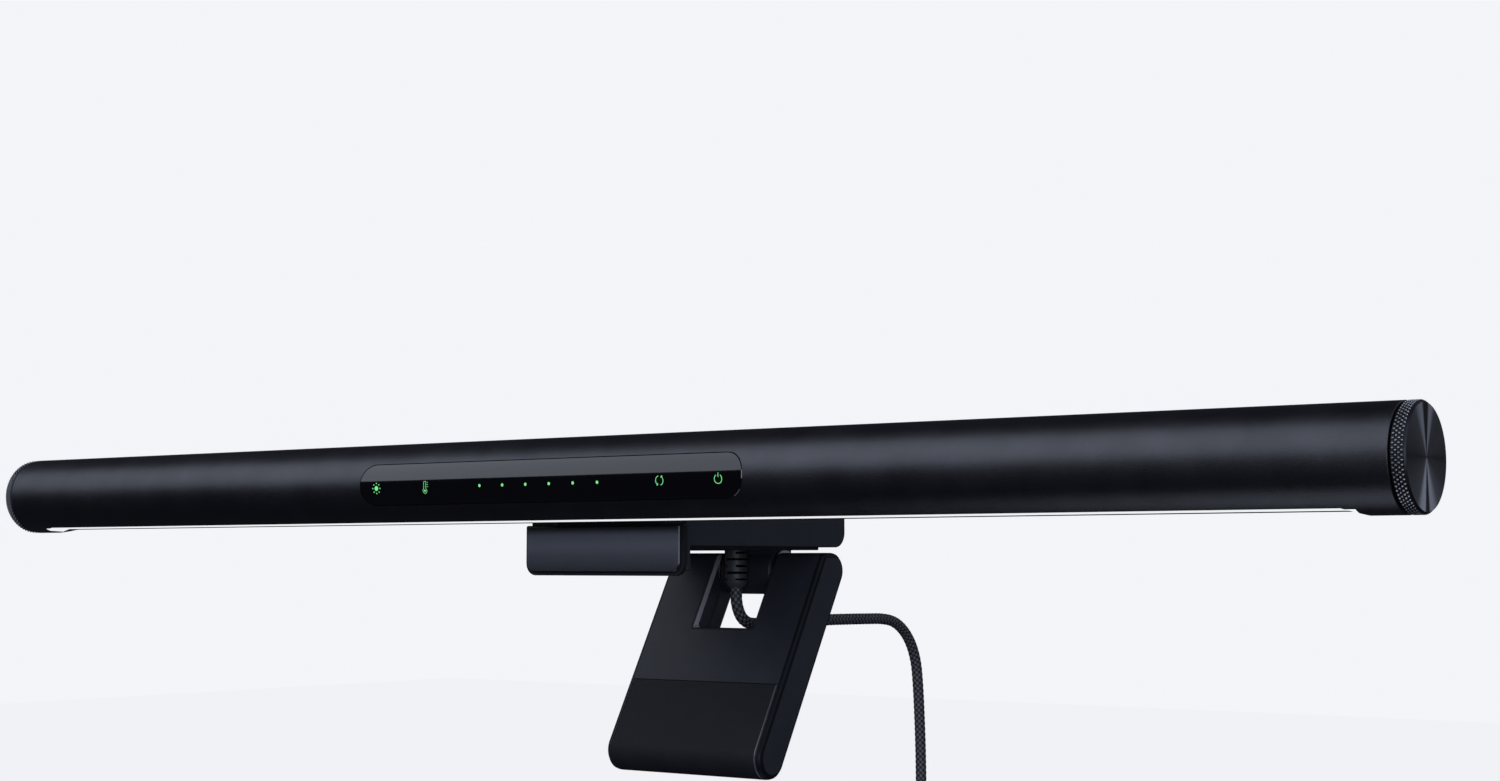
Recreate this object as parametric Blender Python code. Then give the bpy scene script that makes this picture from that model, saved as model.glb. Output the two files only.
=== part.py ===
"""A monitor light bar: a tubular lamp held by a spring clamp that sits on the top edge of a screen.

Every size is in millimetres. Points are (x, y, z) measured from the lamp's axis: x runs to the right along
the lamp, y goes back and z goes up. The pieces hang from an empty that puts the centre of the clamp's
rubber rest pad at the world's origin, and the leg's pieces from an empty on the hinge.
"""

import math

import bmesh
import bpy
from mathutils import Matrix, Vector

MM = 0.001
GAP = 0.3  # clearance between two pieces that touch
ROUND = 48  # sides of a large round
SMALL_ROUND = 12  # sides of a screw or a boss

# Lamp tube
BAR_HALF = 225.0  # centre to the face of an end cap
CAP_WIDTH = 3.3
TUBE_HALF = BAR_HALF - CAP_WIDTH - GAP
TUBE_R = 11.4
BORE_R = 9.9
FLAT_DEPTH = 10.2  # axis to the flat under the tube
FLAT_TILT = -2.8  # degrees: the flat faces a little forward
FLAT_HALF = 209.2
RAMP = 4.4
SLOT_FRONT, SLOT_REAR = -4.6, 2.1
SLOT_HALF = 212.3
PANEL_HALF = 64.65
PANEL_ANGLE = 28.7
PANEL_FLOOR_R = 10.4
REAR_STRIP = (26.0, 209.0)
REAR_STRIP_ANGLE = 16.0
PORT_ANGLES = (55.0, 125.0)  # extruded screw ports near the top of the bore
PORT_R = 8.4

# Tilt joint between the lamp and the clamp
TILT = 20.0  # degrees each way
TILT_SCREW_X = 12.0
SHAFT_R = 1.1
LEAD_R = 1.0
LEAD_ANGLE = -22.0  # where the lead crosses the tube wall, from straight back
LINER_R = (11.7, 12.3)
SADDLE_R = 12.6
SADDLE_HALF = 18.0

# Clamp
REST_Y, REST_Z = 46.45, -17.3  # the rest pad's centre
HALF_WIDTH = 26.7
BRIDGE_FRONT, BRIDGE_REAR = 15.5, 86.1
BRIDGE_TOP, BRIDGE_BOTTOM = -4.5, -16.5
BRIDGE_ROUND = 4.2
COVER_BOTTOM = -6.7
FLOOR_TOP = -14.1
WALL = 1.8
LIP_BOTTOM = -22.8
LIP_WALL = 1.6
PAD_SEAT = -15.9
COVER_SCREWS = ((-21.3, 25.0), (21.3, 25.0), (-20.0, 69.0), (20.0, 69.0))
GLAND_Y = 71.0
BOOT_END = -27.6

# Leg hinge
HINGE_Y, HINGE_Z = 81.2, -23.2
LEG_TILT = -29.4  # degrees about x: the leg's foot is forward of its hinge
LEG_FRONT, LEG_REAR = -6.87, 4.6  # faces, from the hinge
LEG_FOOT = -57.2  # centre of the rounded foot, along the leg
LEG_TOP_R = 5.0
FORK_HALF = 9.85
FORK_FLOOR = -21.1
BARREL_R = 6.4
BARREL_HALF = 8.8
PIN_R = 1.6
LEG_PAD_TOP = -38.3
PAD_HALF = 24.9
COVER_Z = (-56.8, -25.0)
WEIGHT_Z = (-52.6, -30.0)
LEG_SCREWS = (-54.8, -27.5)

# Cord
CORD_R = 1.7
CORD_ROUTE = (  # y, z of the cord from the strain relief to the hank, all at x = 0
    (71.0, -28.0), (71.0, -29.4), (71.15, -31.6), (72.0, -34.0), (73.6, -36.1), (75.9, -37.4),
    (78.6, -37.9), (84.0, -38.0), (96.0, -37.8), (110.0, -37.6), (124.0, -37.6), (136.0, -37.7),
    (144.5, -37.9), (150.8, -38.9), (156.2, -41.6), (160.4, -45.8), (163.1, -51.2), (164.3, -57.5),
    (165.2, -68.0), (165.8, -80.0), (166.0, -92.7),
)
HANK_Y = 171.1
PLUG_Y = 169.4
HANK_TOP = -93.0
HANK_LOOP_R = 19.2  # outer radius of a loop
HANK_WAIST = 12.0  # half width where the tie holds it
HANK_RUN = 59.0
HANK_THICK = 14.1
TIE_HEIGHT = 12.0


# ---------------------------------------------------------------- building blocks

def clear_scene():
    for obj in list(bpy.data.objects):
        bpy.data.objects.remove(obj)


def empty(name, parent, location, tilt=0.0):
    obj = bpy.data.objects.new(name, None)
    bpy.context.scene.collection.objects.link(obj)
    obj.parent = parent
    obj.location = Vector(location) * MM
    obj.rotation_euler.x = math.radians(tilt)
    return obj


def paint(name, colour, roughness, metallic=0.0):
    """A Principled material, made once for each name."""
    made = bpy.data.materials.get(name)
    if made is None:
        made = bpy.data.materials.new(name)
        made.use_nodes = True
        shader = made.node_tree.nodes["Principled BSDF"]
        shader.inputs["Base Color"].default_value = (*colour, 1.0)
        shader.inputs["Roughness"].default_value = roughness
        shader.inputs["Metallic"].default_value = metallic
        made.diffuse_color = (*colour, 1.0)
    return made


def thing(name, bm, parent, material=None):
    """An object from a bmesh in millimetres."""
    bmesh.ops.recalc_face_normals(bm, faces=bm.faces)
    bmesh.ops.scale(bm, vec=(MM, MM, MM), verts=bm.verts)
    mesh = bpy.data.meshes.new(name)
    bm.to_mesh(mesh)
    bm.free()
    obj = bpy.data.objects.new(name, mesh)
    bpy.context.scene.collection.objects.link(obj)
    obj.parent = parent
    if material is not None:
        mesh.materials.append(material)
        mesh.shade_smooth()
        mesh.set_sharp_from_angle(angle=math.radians(35))
    return obj


def helper(obj, other, operation):
    """Uses other to cut, join or trim obj, and keeps it out of the model."""
    other.hide_render = True
    other.display_type = "WIRE"
    boolean = obj.modifiers.new(other.name, "BOOLEAN")
    boolean.operation = operation
    boolean.solver = "EXACT"
    boolean.object = other


def cut(obj, *shapes):
    for count, bm in enumerate(shapes):
        cutter = thing(f"{obj.name}_cut_{len(obj.modifiers)}_{count}", bm, obj.parent)
        cutter.rotation_euler = obj.rotation_euler
        helper(obj, cutter, "DIFFERENCE")


def join(obj, *shapes):
    for count, bm in enumerate(shapes):
        added = thing(f"{obj.name}_add_{len(obj.modifiers)}_{count}", bm, obj.parent)
        added.rotation_euler = obj.rotation_euler
        helper(obj, added, "UNION")


def keep(obj, bm):
    helper(obj, thing(f"{obj.name}_keep_{len(obj.modifiers)}", bm, obj.parent), "INTERSECT")


def soften(obj, width, segments=1):
    """Rounds an object's sharp edges before any hole is cut in it."""
    bevel = obj.modifiers.new("edges", "BEVEL")
    bevel.width = width * MM
    bevel.segments = segments
    bevel.limit_method = "ANGLE"
    bevel.angle_limit = math.radians(40)


def arc(centre, radius, start, end, count):
    """count + 1 points of an arc, in degrees from the first coordinate's direction."""
    points = []
    for i in range(count + 1):
        angle = math.radians(start + (end - start) * i / count)
        points.append((centre[0] + radius * math.cos(angle), centre[1] + radius * math.sin(angle)))
    return points


def circle(centre, radius, count):
    return arc(centre, radius, 0, 360, count)[:-1]


def sector(inner, outer, middle, half, count=12, low=None):
    """Outline, around the lamp's axis, of a curved strip. Angles are from straight back, up positive."""
    first = middle - half if low is None else low
    last = middle + half
    return arc((0, 0), outer, first, last, count) + arc((0, 0), inner, last, first, count)


def rounded(low, high, radius, corners=(1, 1, 1, 1), steps=3):
    """A rectangle's outline with chosen corners rounded: low-low, high-low, high-high, low-high."""
    (x0, y0), (x1, y1) = low, high
    spots = ((x0, y0, 1, 1, 180), (x1, y0, -1, 1, 270), (x1, y1, -1, -1, 0), (x0, y1, 1, -1, 90))
    points = []
    for (x, y, in_x, in_y, start), on in zip(spots, corners):
        if on:
            points += arc((x + in_x * radius, y + in_y * radius), radius, start, start + 90, steps)
        else:
            points.append((x, y))
    return points


def prism(axis, outline, low, high):
    """The outline, given in the two other coordinates in x, y, z order, drawn out along an axis."""
    along = "xyz".index(axis)
    bm = bmesh.new()
    rings = []
    for level in (low, high):
        ring = []
        for point in outline:
            place = list(point)
            place.insert(along, level)
            ring.append(bm.verts.new(place))
        rings.append(ring)
    bm.faces.new(rings[0])
    bm.faces.new(rings[1])
    count = len(outline)
    for i in range(count):
        j = (i + 1) % count
        bm.faces.new((rings[0][i], rings[0][j], rings[1][j], rings[1][i]))
    return bm


def block(low, high):
    (x0, y0, z0), (x1, y1, z1) = low, high
    return prism("z", [(x0, y0), (x1, y0), (x1, y1), (x0, y1)], z0, z1)


def rod(axis, centre, radius, low, high, count=SMALL_ROUND):
    return prism(axis, circle(centre, radius, count), low, high)


def turned(axis, centre, profile, count):
    """A solid of revolution. profile is (along, radius) from one pole or rim to the other; rims close a ring."""
    along = "xyz".index(axis)
    others = [i for i in range(3) if i != along]
    bm = bmesh.new()
    rings = []
    for level, radius in profile:
        ring = []
        for i in range(count if radius > 0 else 1):
            angle = 2 * math.pi * i / count
            place = [0.0, 0.0, 0.0]
            place[along] = level
            place[others[0]] = centre[0] + radius * math.cos(angle)
            place[others[1]] = centre[1] + radius * math.sin(angle)
            ring.append(bm.verts.new(place))
        rings.append(ring)
    pairs = list(zip(rings, rings[1:]))
    if len(rings[0]) > 1 and len(rings[-1]) > 1:
        pairs.append((rings[-1], rings[0]))
    for lower, upper in pairs:
        for i in range(count):
            j = (i + 1) % count
            around = [lower[i % len(lower)], lower[j % len(lower)], upper[j % len(upper)], upper[i % len(upper)]]
            bm.faces.new(list(dict.fromkeys(around)))
    return bm


def screw(name, parent, material, axis, centre, head, tip, head_r, head_height, shaft_r=SHAFT_R):
    """A screw whose head's outer face is at head and whose point is at tip."""
    down = 1 if tip > head else -1
    under = head + down * head_height
    profile = [(head, 0), (head, head_r), (under, head_r), (under, shaft_r), (tip, shaft_r), (tip, 0)]
    return thing(name, turned(axis, centre, profile, SMALL_ROUND), parent, material)


def catmull(points, spacing):
    """Points about spacing apart on a smooth curve through the given ones."""
    points = [Vector(p) for p in points]
    ends = [2 * points[0] - points[1], *points, 2 * points[-1] - points[-2]]
    fine = []
    for a, b, c, d in zip(ends, ends[1:], ends[2:], ends[3:]):
        for i in range(20):
            t = i / 20
            fine.append(0.5 * ((2 * b) + (c - a) * t + (2 * a - 5 * b + 4 * c - d) * t**2
                               + (3 * b - a - 3 * c + d) * t**3))
    fine.append(points[-1])
    chosen = [fine[0]]
    for p in fine[1:-1]:
        if (p - chosen[-1]).length >= spacing:
            chosen.append(p)
    if (fine[-1] - chosen[-1]).length < spacing / 2:
        chosen.pop()
    return chosen + [fine[-1]]


def tube(name, points, radius, parent, material, resolution=2):
    """A round wire or cord along a line of points."""
    curve = bpy.data.curves.new(name, "CURVE")
    curve.dimensions = "3D"
    curve.bevel_depth = radius * MM
    curve.bevel_resolution = resolution
    curve.use_fill_caps = True
    spline = curve.splines.new("POLY")
    spline.points.add(len(points) - 1)
    for spot, p in zip(spline.points, points):
        spot.co = (*(Vector(p) * MM), 1.0)
    curve.materials.append(material)
    obj = bpy.data.objects.new(name, curve)
    bpy.context.scene.collection.objects.link(obj)
    obj.parent = parent
    return obj


# ---------------------------------------------------------------- materials

def black_metal():
    return paint("black_anodised", (0.018, 0.019, 0.024), 0.42, 0.9)


def black_plastic():
    return paint("black_plastic", (0.022, 0.023, 0.028), 0.5)


def black_rubber():
    return paint("black_rubber", (0.012, 0.012, 0.014), 0.8)


def steel():
    return paint("steel", (0.55, 0.55, 0.57), 0.32, 1.0)


def white_lens():
    return paint("white_lens", (0.93, 0.93, 0.9), 0.45)


def circuit():
    return paint("circuit_board", (0.03, 0.16, 0.07), 0.45)


# ---------------------------------------------------------------- lamp

def bore_outline():
    """The bore, with two screw ports standing in from its wall near the top."""
    points = []
    step = 360 / ROUND
    for i in range(ROUND):
        angle = i * step
        if all(abs(angle - port) > 11 for port in PORT_ANGLES):
            points += arc((0, 0), BORE_R, angle, angle, 1)[:1]
        for port in PORT_ANGLES:
            if angle <= port - 11 < angle + step:
                for radius, turn in ((BORE_R, -10.5), (PORT_R - 1.7, -13), (PORT_R - 1.7, 13), (BORE_R, 10.5)):
                    points += arc((0, 0), radius, port + turn, port + turn, 1)[:1]
    return points


def flat_outline(extra):
    """What is cut away under the tube, seen from the front: a long flat with a ramp at each end."""
    deep = TUBE_R + 2
    ramp_foot = FLAT_DEPTH + (TUBE_R + 0.05 - FLAT_DEPTH)
    half = FLAT_HALF + extra
    return [(-half - RAMP, -ramp_foot), (-half, -FLAT_DEPTH), (half, -FLAT_DEPTH), (half + RAMP, -ramp_foot),
            (half + RAMP, -deep), (-half - RAMP, -deep)]


def tube_housing(lamp):
    body = thing("tube_housing", rod("x", (0, 0), TUBE_R, -TUBE_HALF, TUBE_HALF, ROUND), lamp, black_metal())
    cut(body, prism("x", bore_outline(), -TUBE_HALF - 1, TUBE_HALF + 1))
    flat = thing("underside_flat", prism("y", flat_outline(0), -TUBE_R, TUBE_R), lamp)
    flat.rotation_euler.x = math.radians(FLAT_TILT)
    helper(body, flat, "DIFFERENCE")
    slot = thing("underside_slot", block((-SLOT_HALF, SLOT_FRONT, -13), (SLOT_HALF, SLOT_REAR, -7.5)), lamp)
    slot.rotation_euler.x = math.radians(FLAT_TILT)
    helper(body, slot, "DIFFERENCE")
    counterbore = BORE_R + 0.15
    cut(body,
        rod("x", (0, 0), counterbore, TUBE_HALF - 1.8, TUBE_HALF + 1, ROUND),
        rod("x", (0, 0), counterbore, -TUBE_HALF - 1, 1.8 - TUBE_HALF, ROUND))
    front = 180
    edge = math.degrees(GAP / TUBE_R)
    cut(body,
        prism("x", sector(PANEL_FLOOR_R, 13, front, PANEL_ANGLE + edge), -PANEL_HALF - GAP, PANEL_HALF + GAP),
        prism("x", sector(8, 13, front, 20), -58, 58))
    for side in (-1, 1):
        low, high = sorted(side * x for x in REAR_STRIP)
        cut(body, prism("x", sector(8.5, 13, 0, REAR_STRIP_ANGLE, 8), low, high))
        x = side * TILT_SCREW_X
        half = SHAFT_R + GAP
        cut(body, prism("x", sector(8.5, 13, 0, TILT + 8), x - half, x + half))
        for port in PORT_ANGLES:
            hole = arc((0, 0), PORT_R, port, port, 1)[0]
            ends = sorted((side * (TUBE_HALF - 12), side * (TUBE_HALF + 1)))
            cut(body, rod("x", hole, SHAFT_R, *ends, 8))
    lead_half = TILT + math.degrees(LEAD_R / BORE_R) + 3
    cut(body, prism("x", sector(8.5, 13, LEAD_ANGLE, lead_half), -LEAD_R - 1.2, LEAD_R + 1.2))
    return body


def front_diffuser(lamp):
    top = -8.6
    half = SLOT_HALF - GAP
    foot = FLAT_DEPTH + (half - FLAT_HALF) * (TUBE_R - FLAT_DEPTH) / RAMP
    outline = [(-half, -foot), (-FLAT_HALF, -FLAT_DEPTH), (FLAT_HALF, -FLAT_DEPTH), (half, -foot),
               (half, top), (-half, top)]
    lens = thing("front_diffuser", prism("y", outline, SLOT_FRONT + GAP, SLOT_REAR - GAP), lamp, white_lens())
    lens.rotation_euler.x = math.radians(FLAT_TILT)
    keep(lens, rod("x", (0, 0), TUBE_R - 0.02, -SLOT_HALF, SLOT_HALF, ROUND))


def led_board(name, lamp, axis, along, across, level, thick, chip_height, pitch):
    """A strip board with a row of light chips on the face at level + thick."""
    sign = 1 if thick > 0 else -1
    low, high = sorted((level, level + thick))

    def corners(x0, x1, half, a, b):
        bottom, top = sorted((a, b))
        if axis == "z":
            return (x0, across - half, bottom), (x1, across + half, top)
        return (x0, bottom, across - half), (x1, top, across + half)

    x0, x1 = along
    board = thing(name, block(*corners(x0, x1, 2.9, low, high)), lamp, circuit())
    count = int((x1 - x0 - 8) / pitch) + 1
    first = (x0 + x1) / 2 - (count - 1) * pitch / 2
    for i in range(count):
        x = first + i * pitch
        start = level + thick - sign * 0.3
        end = level + thick + sign * chip_height
        join(board, block(*corners(x - 1.4, x + 1.4, 1.2, start, end)))
    return board


def carrier(lamp):
    outline = [(-4.8, -6.7), (5.9, -6.7), (5.9, 3.2), (5.0, 3.2), (5.0, -5.5), (-3.8, -5.5), (-3.8, -3.5), (-4.8, -3.5)]
    rail = thing("carrier_rail", prism("x", outline, -206, 206), lamp, paint("bare_aluminium", (0.6, 0.6, 0.62), 0.4, 1.0))
    cut(rail, block((-24, 4, -5.2), (24, 8, 5)), block((-6, 2.5, -8), (6, 8, 5)))


def touch_control(lamp):
    outline = sector(PANEL_FLOOR_R + GAP, TUBE_R, 180, PANEL_ANGLE)
    gloss = paint("black_gloss", (0.006, 0.006, 0.009), 0.06)
    thing("touch_panel", prism("x", outline, -PANEL_HALF, PANEL_HALF), lamp, gloss)
    board = thing("touch_board", block((-57, -9.2, -3.2), (57, -8.4, 3.2)), lamp, circuit())
    lights = [-56 + 2, -40, -20, -12, -4, 4, 12, 20, 40, 54]
    for x in lights:
        join(board, block((x - 0.6, -9.6, -1.5), (x + 0.6, -9.0, -0.5)))
    join(board, block((24, -8.6, -2), (30, -7.6, 2)))


def driver_board(lamp):
    board = thing("driver_board", block((40, -3.2, -4.4), (112, 4.4, -3.4)), lamp, circuit())
    join(board,
         block((41, -2, -3.6), (47, 3, -0.8)),
         rod("z", (60, 0.5), 2.6, -3.6, -0.4),
         block((68, -2, -3.6), (75, 3, -2.4)),
         rod("z", (84, -0.8), 1.6, -3.6, 1.0, 8),
         rod("z", (89, -0.8), 1.6, -3.6, 1.0, 8),
         block((98, -1.8, -3.6), (106, 2.4, -2.2)))


def end_pieces(lamp):
    """A plug screwed into each end of the tube, and a knurled cap pressed into the plug."""
    for side, name in ((-1, "left"), (1, "right")):
        def at(*levels):
            return sorted(side * level for level in levels)

        plug = thing(f"end_plug_{name}", rod("x", (0, 0), 6.2, *at(207, TUBE_HALF), 24), lamp, black_plastic())
        join(plug, rod("x", (0, 0), BORE_R - GAP, *at(TUBE_HALF - 7.5, TUBE_HALF), 32))
        cut(plug, rod("x", (0, 0), 3.3, *at(TUBE_HALF - 9, TUBE_HALF + 1), 16))
        for port in PORT_ANGLES:
            middle = math.radians(port)
            across = Vector((0, -math.sin(middle), math.cos(middle)))
            out = Vector((0, math.cos(middle), math.sin(middle)))
            corners = [out * (PORT_R - 2) - across * 2.2, out * 12 - across * 2.2, out * 12 + across * 2.2,
                       out * (PORT_R - 2) + across * 2.2]
            outline = [(p.y, p.z) for p in corners]
            cut(plug, prism("x", outline, *at(TUBE_HALF - 8, TUBE_HALF - 1.5)))
            centre = (PORT_R * math.cos(middle), PORT_R * math.sin(middle))
            cut(plug, rod("x", centre, SHAFT_R + GAP, *at(TUBE_HALF - 2, TUBE_HALF + 1), 8))
        cap = [(BAR_HALF, 0), (BAR_HALF, TUBE_R - 0.3), (BAR_HALF - 0.3, TUBE_R), (BAR_HALF - CAP_WIDTH, TUBE_R),
               (BAR_HALF - CAP_WIDTH, 10.6), (BAR_HALF - CAP_WIDTH + 1.3, 10.6), (BAR_HALF - CAP_WIDTH + 1.3, 3.0),
               (TUBE_HALF - 7, 3.0), (TUBE_HALF - 7, 0)]
        profile = [(side * level, radius) for level, radius in cap]
        thing(f"end_cap_{name}", turned("x", (0, 0), profile, ROUND), lamp, black_metal())
        for number, port in enumerate(PORT_ANGLES, 1):
            centre = arc((0, 0), PORT_R, port, port, 1)[0]
            screw(f"plug_screw_{name}_{number}", lamp, steel(), "x", centre,
                  side * (TUBE_HALF + 0.95), side * (TUBE_HALF - 9), 1.7, 0.65, 0.8)


def build_lamp(lamp):
    tube_housing(lamp)
    front_diffuser(lamp)
    carrier(lamp)
    led_board("white_led_board", lamp, "z", (-205, 205), 0.0, -7.0, -0.8, 0.4, 17.0)
    start, end = REAR_STRIP
    outline = sector(TUBE_R - 1.2, TUBE_R, 0, REAR_STRIP_ANGLE - math.degrees(GAP / BORE_R), 8)
    for side, name in ((-1, "left"), (1, "right")):
        low, high = sorted((side * (start + GAP), side * (end - GAP)))
        thing(f"rear_diffuser_{name}", prism("x", outline, low, high), lamp, white_lens())
        low, high = sorted((side * (start + 1), side * (end - 4)))
        led_board(f"rear_led_board_{name}", lamp, "y", (low, high), 0.0, 6.2, 0.8, 0.6, 22.0)
    touch_control(lamp)
    driver_board(lamp)
    end_pieces(lamp)


# ---------------------------------------------------------------- clamp

def saddle_pieces(frame):
    """The cradle behind the tube, its liner, and the shoe and screws that grip the tube wall from inside."""
    low_angle, high_angle = -50, 42
    back = BRIDGE_FRONT - GAP
    front_face = arc((0, 0), SADDLE_R, high_angle, low_angle, 14)
    tongue_low, tongue_high = -10.1, -7.3
    outline = front_face + [(9.2, tongue_low), (30, tongue_low), (30, tongue_high), (back, tongue_high), (back, 6.5),
                            (13.4, 9.6), (10.6, 9.9)]
    cradle = thing("saddle", prism("x", outline, -SADDLE_HALF, SADDLE_HALF), frame, black_plastic())
    liner = thing("saddle_liner", prism("x", sector(*LINER_R, 0, 40, 14, low=-46), -SADDLE_HALF, SADDLE_HALF), frame,
                  black_plastic())
    shoe = thing("tilt_shoe", prism("x", sector(8.0, BORE_R - GAP, 0, 16, 6, low=-10), -16, 16), frame,
                 black_plastic())
    hole = SHAFT_R + GAP
    for side, name in ((-1, "left"), (1, "right")):
        x = side * TILT_SCREW_X
        for obj in (cradle, liner, shoe):
            cut(obj, rod("y", (x, 0), hole, 5, 18, 10))
        cut(cradle, rod("y", (x, 0), 2.3, 13.5, 18))
        screw(f"tilt_screw_{name}", frame, steel(), "y", (x, 0), 14.9, 7.6, 2.0, 1.1)
        x = side * 10
        cut(cradle, rod("z", (x, 25), hole, -12, -5, 10), rod("z", (x, 25), 2.4, -8.6, -5))
        screw(f"saddle_screw_{name}", frame, steel(), "z", (x, 25), -7.2, -13.2, 2.0, 1.1)
    lead_gap = LEAD_R + 0.6
    cut(cradle, block((-lead_gap, 5, -12), (lead_gap, 40, -1.8)))
    cut(liner, block((-lead_gap, 5, -12), (lead_gap, 40, -1.8)))


def bridge(frame):
    lip_rear = BRIDGE_FRONT + LIP_WALL
    side = [(BRIDGE_FRONT, COVER_BOTTOM - GAP), (BRIDGE_FRONT, LIP_BOTTOM), (lip_rear, LIP_BOTTOM),
            (lip_rear, BRIDGE_BOTTOM)]
    side += arc((BRIDGE_REAR - BRIDGE_ROUND, BRIDGE_BOTTOM + BRIDGE_ROUND), BRIDGE_ROUND, -90, 0, 5)
    side.append((BRIDGE_REAR, COVER_BOTTOM - GAP))
    body = thing("bridge_body", prism("x", side, -HALF_WIDTH, HALF_WIDTH), frame, black_plastic())
    soften(body, 0.35)
    inside = HALF_WIDTH - WALL
    cut(body, block((-inside, lip_rear + 0.3, FLOOR_TOP), (inside, BRIDGE_REAR - 2, 0)))
    for x in (-10, 10):
        join(body, rod("z", (x, 25), 2.8, FLOOR_TOP - 0.5, -10.4))
        cut(body, rod("z", (x, 25), SHAFT_R + GAP, FLOOR_TOP + 0.5, -9, 8))
    tongue_half = SADDLE_HALF + GAP
    cut(body,
        block((-tongue_half, BRIDGE_FRONT - 1, -10.4), (tongue_half, lip_rear + 1, 0)),
        block((-25.5, 18.8, -18), (25.5, 75.8, PAD_SEAT)),
        block((-23.8, BRIDGE_FRONT + 1.0, -22.0), (23.8, lip_rear + 1, -17.6)),
        rod("z", (0, GLAND_Y), 3.0, -20, -10, 16),
        rod("z", (0, GLAND_Y), 3.6, -20, PAD_SEAT, 16),
        block((-6.3, 76.9, -20), (6.3, 82.9, -10)))
    cover_side = [(BRIDGE_FRONT, COVER_BOTTOM), (BRIDGE_REAR, COVER_BOTTOM)]
    cover_side += arc((BRIDGE_REAR - 2.2, BRIDGE_TOP - 2.2), 2.2, 0, 90, 4) + [(BRIDGE_FRONT, BRIDGE_TOP)]
    cover = thing("bridge_cover", prism("x", cover_side, -HALF_WIDTH, HALF_WIDTH), frame, black_plastic())
    soften(cover, 0.35)
    for number, centre in enumerate(COVER_SCREWS, 1):
        cut(body, rod("z", centre, SHAFT_R + GAP, -18, -10, 10), rod("z", centre, 2.7, -18, -14.9))
        join(cover, rod("z", centre, 2.7, FLOOR_TOP + GAP, COVER_BOTTOM + 0.5))
        cut(cover, rod("z", centre, SHAFT_R + GAP, -16, -7.8, 8))
        screw(f"cover_screw_{number}", frame, steel(), "z", centre, -15.85, -8.4, 2.4, 0.65)


def lip_and_pads(frame):
    plate = thing("lip_plate", prism("y", rounded((-26.2, -23.2), (26.2, -11.2), 2.6, (1, 1, 0, 0)), 12.9, 13.5), frame,
                  black_metal())
    soften(plate, 0.2)
    thing("lip_gasket", prism("y", rounded((-27.1, -24.1), (27.1, -10.9), 3.2, (1, 1, 0, 0)), 13.8, 15.2), frame,
          black_rubber())
    thing("lip_pad", block((-23.5, BRIDGE_FRONT + 1.3, -21.7), (23.5, 18.0, -17.9)), frame, black_rubber())
    notch = 4.3
    outline = [(-25.2, 19.1), (25.2, 19.1), (25.2, 75.5), (notch, 75.5), (notch, 66.6), (-notch, 66.6), (-notch, 75.5),
               (-25.2, 75.5)]
    thing("rest_pad", prism("z", outline, REST_Z, PAD_SEAT - GAP), frame, black_rubber())


def hinge_pieces(frame):
    dark = black_plastic()
    knuckle = thing("hinge_knuckle", rod("x", (HINGE_Y, HINGE_Z), BARREL_R, -BARREL_HALF, BARREL_HALF, 28), frame, dark)
    join(knuckle,
         block((-BARREL_HALF, 77.0, HINGE_Z), (BARREL_HALF, 85.1, BRIDGE_BOTTOM - GAP)),
         block((-6, 77.2, -19), (6, 82.6, -14.3)))
    cut(knuckle,
        rod("x", (HINGE_Y, HINGE_Z), PIN_R + GAP, -12, 12, 16),
        rod("x", (HINGE_Y, HINGE_Z), 4.3, -12, 2, 20),
        rod("x", (HINGE_Y, HINGE_Z + 3.3), 0.9, 1, 5, 8))
    plate = thing("hinge_plate", block((-11, 75.4, -13.8), (11, 83.4, -12.6)), frame, steel())
    for side, name in ((-1, "left"), (1, "right")):
        x = side * 3.8
        cut(knuckle, rod("z", (x, 79.3), SHAFT_R + GAP, -18.6, -10, 8))
        cut(plate, rod("z", (x, 79.3), SHAFT_R + GAP, -15, -10, 10))
        screw(f"hinge_screw_{name}", frame, steel(), "z", (x, 79.3), -11.1, -18.2, 2.1, 1.2)
        x = side * (BARREL_HALF + GAP)
        ring = [(x, 4.4), (x, 6.0), (x + side * 0.45, 6.0), (x + side * 0.45, 4.4)]
        thing(f"hinge_washer_{name}", turned("x", (HINGE_Y, HINGE_Z), ring, 24), frame, steel())
    turns, per_turn, coil_r = 5, 10, 3.3
    start, end = -8.0, 0.0
    points = [(end + 3.6, HINGE_Y, HINGE_Z + coil_r)]
    for i in range(turns * per_turn + 1):
        angle = 2 * math.pi * i / per_turn
        along = end + (start - end) * i / (turns * per_turn)
        points.append((along, HINGE_Y + coil_r * math.sin(angle), HINGE_Z + coil_r * math.cos(angle)))
    points.append((-11.1, HINGE_Y, HINGE_Z + coil_r))
    tube("torsion_spring", points, 0.45, frame, steel(), 1)


def strain_relief(frame):
    profile = [(-12.6, 0), (-12.6, 3.7), (-13.8, 3.7), (-13.8, 2.7), (-16.2, 2.7), (-16.2, 3.25)]
    ribs = 5
    top = -17.6
    pitch = (BOOT_END - top) / ribs
    for i in range(ribs):
        radius = 3.25 + (2.15 - 3.25) * i / (ribs - 1)
        z = top + pitch * i
        profile += [(z, radius), (z + pitch * 0.3, radius - 0.55), (z + pitch * 0.6, radius - 0.5),
                    (z + pitch * 0.9, radius - 0.1)]
    profile += [(BOOT_END, 1.9), (BOOT_END, 0)]
    thing("strain_relief", turned("z", (0, GLAND_Y), profile, 14), frame, black_rubber())


def power_lead(frame):
    route = [(0, GLAND_Y, -12.1), (0, GLAND_Y, -10.8), (0, 69.6, -9.5), (0, 66, -9.4), (0, 50, -10.6), (0, 34, -10.9),
             (0, 26, -9.6),
             (0, 19, -8.7), (0, 15, -7.4), (0, 11.6, -5.0), (0, 8.6, -3.2), (0.2, 5.4, -1.6), (1.6, 2.4, -0.5), (4.6, 0.6, 0),
             (10, 0, 0), (24, 0, 0), (37.5, 0, 0)]
    tube("power_lead", catmull(route, 2.6), LEAD_R, frame, black_plastic(), 1)


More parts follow.
